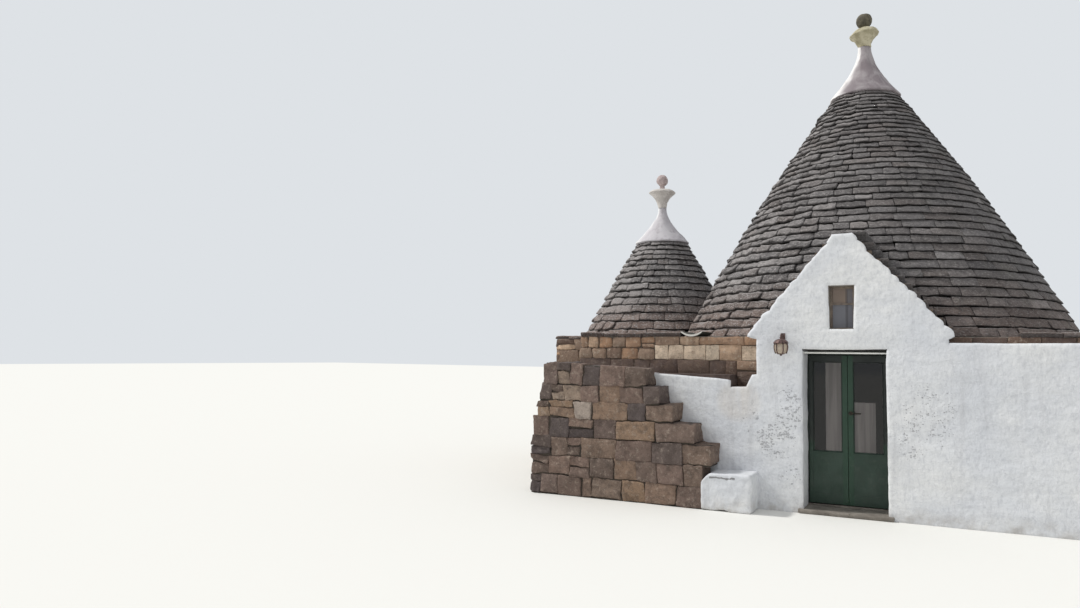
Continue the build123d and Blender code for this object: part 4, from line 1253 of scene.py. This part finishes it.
def threshold():
    """The stone sill of the door, trodden down in its middle."""
    low_corner, high_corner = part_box("door_threshold")
    points, quads = rounded_box(high_corner - low_corner, 0.012, (16, 8, 1))
    points = points + np.array(middle("door_threshold"))
    wear = np.exp(-(points[:, 0] / 0.3) ** 2) * 0.008
    top = points[:, 2] > high_corner.z * 0.6
    points[top, 2] -= wear[top]
    add_piece("worn_threshold", shake(points, 0.003, 0.1, 93), quads, PAVING, "floor_stone",
              ("door_threshold",))


# Door trim
def door_beads():
    """Slim glazing beads round the glass on the outer face of each leaf."""
    width = 0.012
    for side in ("left", "right"):
        glass_low, glass_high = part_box("door_glass_" + side)
        x0, x1, z0, z1 = glass_low.x, glass_high.x, glass_low.z, glass_high.z
        y = glass_low.y - width / 2
        flat, upright = (x1 - x0, width, width), (width, width, z1 - z0 - 2 * width)
        pile = Pile()
        for x, z, size in (((x0 + x1) / 2, z0 + width / 2, flat),
                           ((x0 + x1) / 2, z1 - width / 2, flat),
                           (x0 + width / 2, (z0 + z1) / 2, upright),
                           (x1 - width / 2, (z0 + z1) / 2, upright)):
            points, quads = rounded_box(size, 0.004, (1, 1, 1))
            pile.add(points + np.array((x, y, z)), quads)
        pile.build("door_beads_" + side, LEAF, "green_paint", body=side + "_leaf")


# Wall lantern
def bracket(iron, centre):
    """The wall plate, the curved arm, the short hanger under it and the two scrolls."""
    bracket_top, wall = high("lantern_bracket").z, FACADE_Y - 0.018
    top, rise, plate = bracket_top - 0.006, 0.05, (0.05, 0.008, 0.15)
    points, quads = rounded_box(plate, 0.004, (2, 1, 4))
    iron.add(points + np.array((centre.x, wall, bracket_top - plate[2] / 2)), quads)
    arm = [(centre.x, wall + t * (centre.y - wall), top - rise + rise * math.sin(t * math.pi * 0.9))
           for t in np.linspace(0, 1, 14)]
    iron.add(*tube(arm, 0.006))
    iron.add(*tube([(centre.x, centre.y, top - drop) for drop in (0.035, 0.055)], 0.005))
    for lean, turn in ((-0.012, 1), (0.012, -1)):
        scroll = []
        for share in np.linspace(0, 1, 22):
            out, up = polar(0.026 * (1 - 0.6 * share), -90 + 330 * share)
            scroll.append((centre.x + lean, centre.y + 0.06 - turn * 0.006 + out * 0.9,
                           top - 0.03 + up))
        iron.add(*tube(scroll, 0.005, 6))


def lantern_roof(radius, eaves):
    """Profile of the domed roof, with its rim and its knob."""
    dome = [(radius * 1.10, eaves - 0.004), (radius * 1.12, eaves + 0.006)]
    for angle in np.linspace(10, 84, 9):
        dome.append((polar(radius * 1.02, angle)[0], eaves + 0.008 + polar(0.044, angle)[1]))
    return dome + [(0.010, eaves + 0.056), (0.015, eaves + 0.064), (0.006, eaves + 0.074)]


def lantern_drop(radius, foot):
    """Profile of the base plate with the drop under it."""
    return [(0.006, foot - 0.026), (0.015, foot - 0.019), (0.010, foot - 0.012),
            (radius * 0.5, foot - 0.008), (radius * 0.66, foot), (radius * 0.68, foot + 0.006)]


def lantern():
    """An iron lantern on a scrolled bracket: six panes between ribs, a domed roof and a drop."""
    glass_low, glass_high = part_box("lantern_glass")
    centre = middle("lantern_glass")
    radius, foot, eaves = (glass_high.x - glass_low.x) / 2, glass_low.z, glass_high.z
    iron = Pile()
    bracket(iron, centre)
    iron.add(*turned(lantern_roof(radius, eaves), 24, centre))
    iron.add(*turned(lantern_drop(radius, foot), 24, centre))
    # The glass is widest above its middle
    belly = [(radius * (0.64 + 0.36 * math.sin(math.pi * (0.12 + 0.62 * share))),
              foot + share * (eaves - foot)) for share in np.linspace(0, 1, 9)]
    for number in range(6):
        across, along = polar(1.01, 60 * number)
        rib = [(centre.x + r * across, centre.y + r * along, z) for r, z in belly]
        iron.add(*tube(rib, 0.0065, 6))
    iron.build("lantern_iron", IRON, "dark_iron", replaces=("lantern_bracket",))
    points, faces = turned(belly, 6, centre)
    add_piece("lantern_panes", points, faces, LANTERN_PANE, "clear_glass", ("lantern_glass",))


# Stage, light and camera
def stage():
    """A plain pale floor that keeps the shadow and reads as one tone with the background."""
    f = Finish("studio_floor", 1.0)
    f.shader["Specular IOR Level"].default_value = 0.0
    f.colour = srgb((226, 226, 222))
    reach, z = 90.0, -0.001
    mesh = bpy.data.meshes.new("studio_floor")
    mesh.from_pydata([(-reach, -reach, z), (reach, -reach, z), (reach, reach, z),
                      (-reach, reach, z)], [], [(0, 1, 2, 3)])
    mesh.materials.append(f.done())
    floor = add_object("studio_floor", mesh)


def world_light():
    """Soft light from all round; the camera, gloss and glass see a pale background."""
    world = bpy.data.worlds.new("studio")
    bpy.context.scene.world = world
    world.use_nodes = True
    tree = world.node_tree
    path = add_node(tree, "LightPath", {})
    indirect = add_node(tree, "Math", {0: path["Is Glossy Ray"], 1: path["Is Transmission Ray"]},
                        operation="MAXIMUM")[0]
    seen = add_node(tree, "Math", {0: path["Is Camera Ray"], 1: indirect}, operation="MAXIMUM")[0]
    light = 0.71
    colour = add_node(tree, "Mix", {0: seen, 6: (light, light * 1.01, light * 1.03, 1),
                                    7: srgb((222, 226, 230))}, data_type="RGBA")[2]
    put(tree, tree.nodes["Background"].inputs["Color"], colour)


def key_light():
    lamp = bpy.data.lights.new("key", "SUN")
    lamp.energy = 2.4
    lamp.angle = math.radians(6)
    lamp.color = (1.0, 0.975, 0.94)
    key = add_object("key", lamp)
    sun_side = Vector((-0.82, -0.14, 0.86))
    key.rotation_euler = sun_side.to_track_quat("Z", "Y").to_euler()


def camera():
    """The photograph's standing eye height, heading and lens."""
    place = (1.1083, -12.6088, 1.7677)
    heading, pitch, roll = math.radians(27.3205), math.radians(3.5999), math.radians(0.722)
    data = bpy.data.cameras.new("photo_view")
    data.lens = 26.70
    data.sensor_width = 36.0
    data.sensor_fit = "HORIZONTAL"
    data.clip_end = 300.0
    view = add_object("photo_view", data)
    view.matrix_world = (Matrix.Translation(place) @ Matrix.Rotation(heading, 4, "Z")
                         @ Matrix.Rotation(math.pi / 2 + pitch, 4, "X")
                         @ Matrix.Rotation(roll, 4, "Z"))
    bpy.context.scene.camera = view


camera()
dress_nodes()
cone_slabs()
cone_backing()
dormer_slabs()
white_walls()
band()
bare_walls()
coping()
stair_blocks()
pinnacle("main", 0.088, 0.69, (CAP, CUP, BALL), 0.10, 101)
pinnacle("small", 0.069, 0.82, (SMALL_CAP, SMALL_CUP, SMALL_BALL), 0.0, 121)
step_block()
threshold()
door_beads()
lantern()
stage()
world_light()
key_light()
bpy.context.scene.view_settings.view_transform = "Standard"
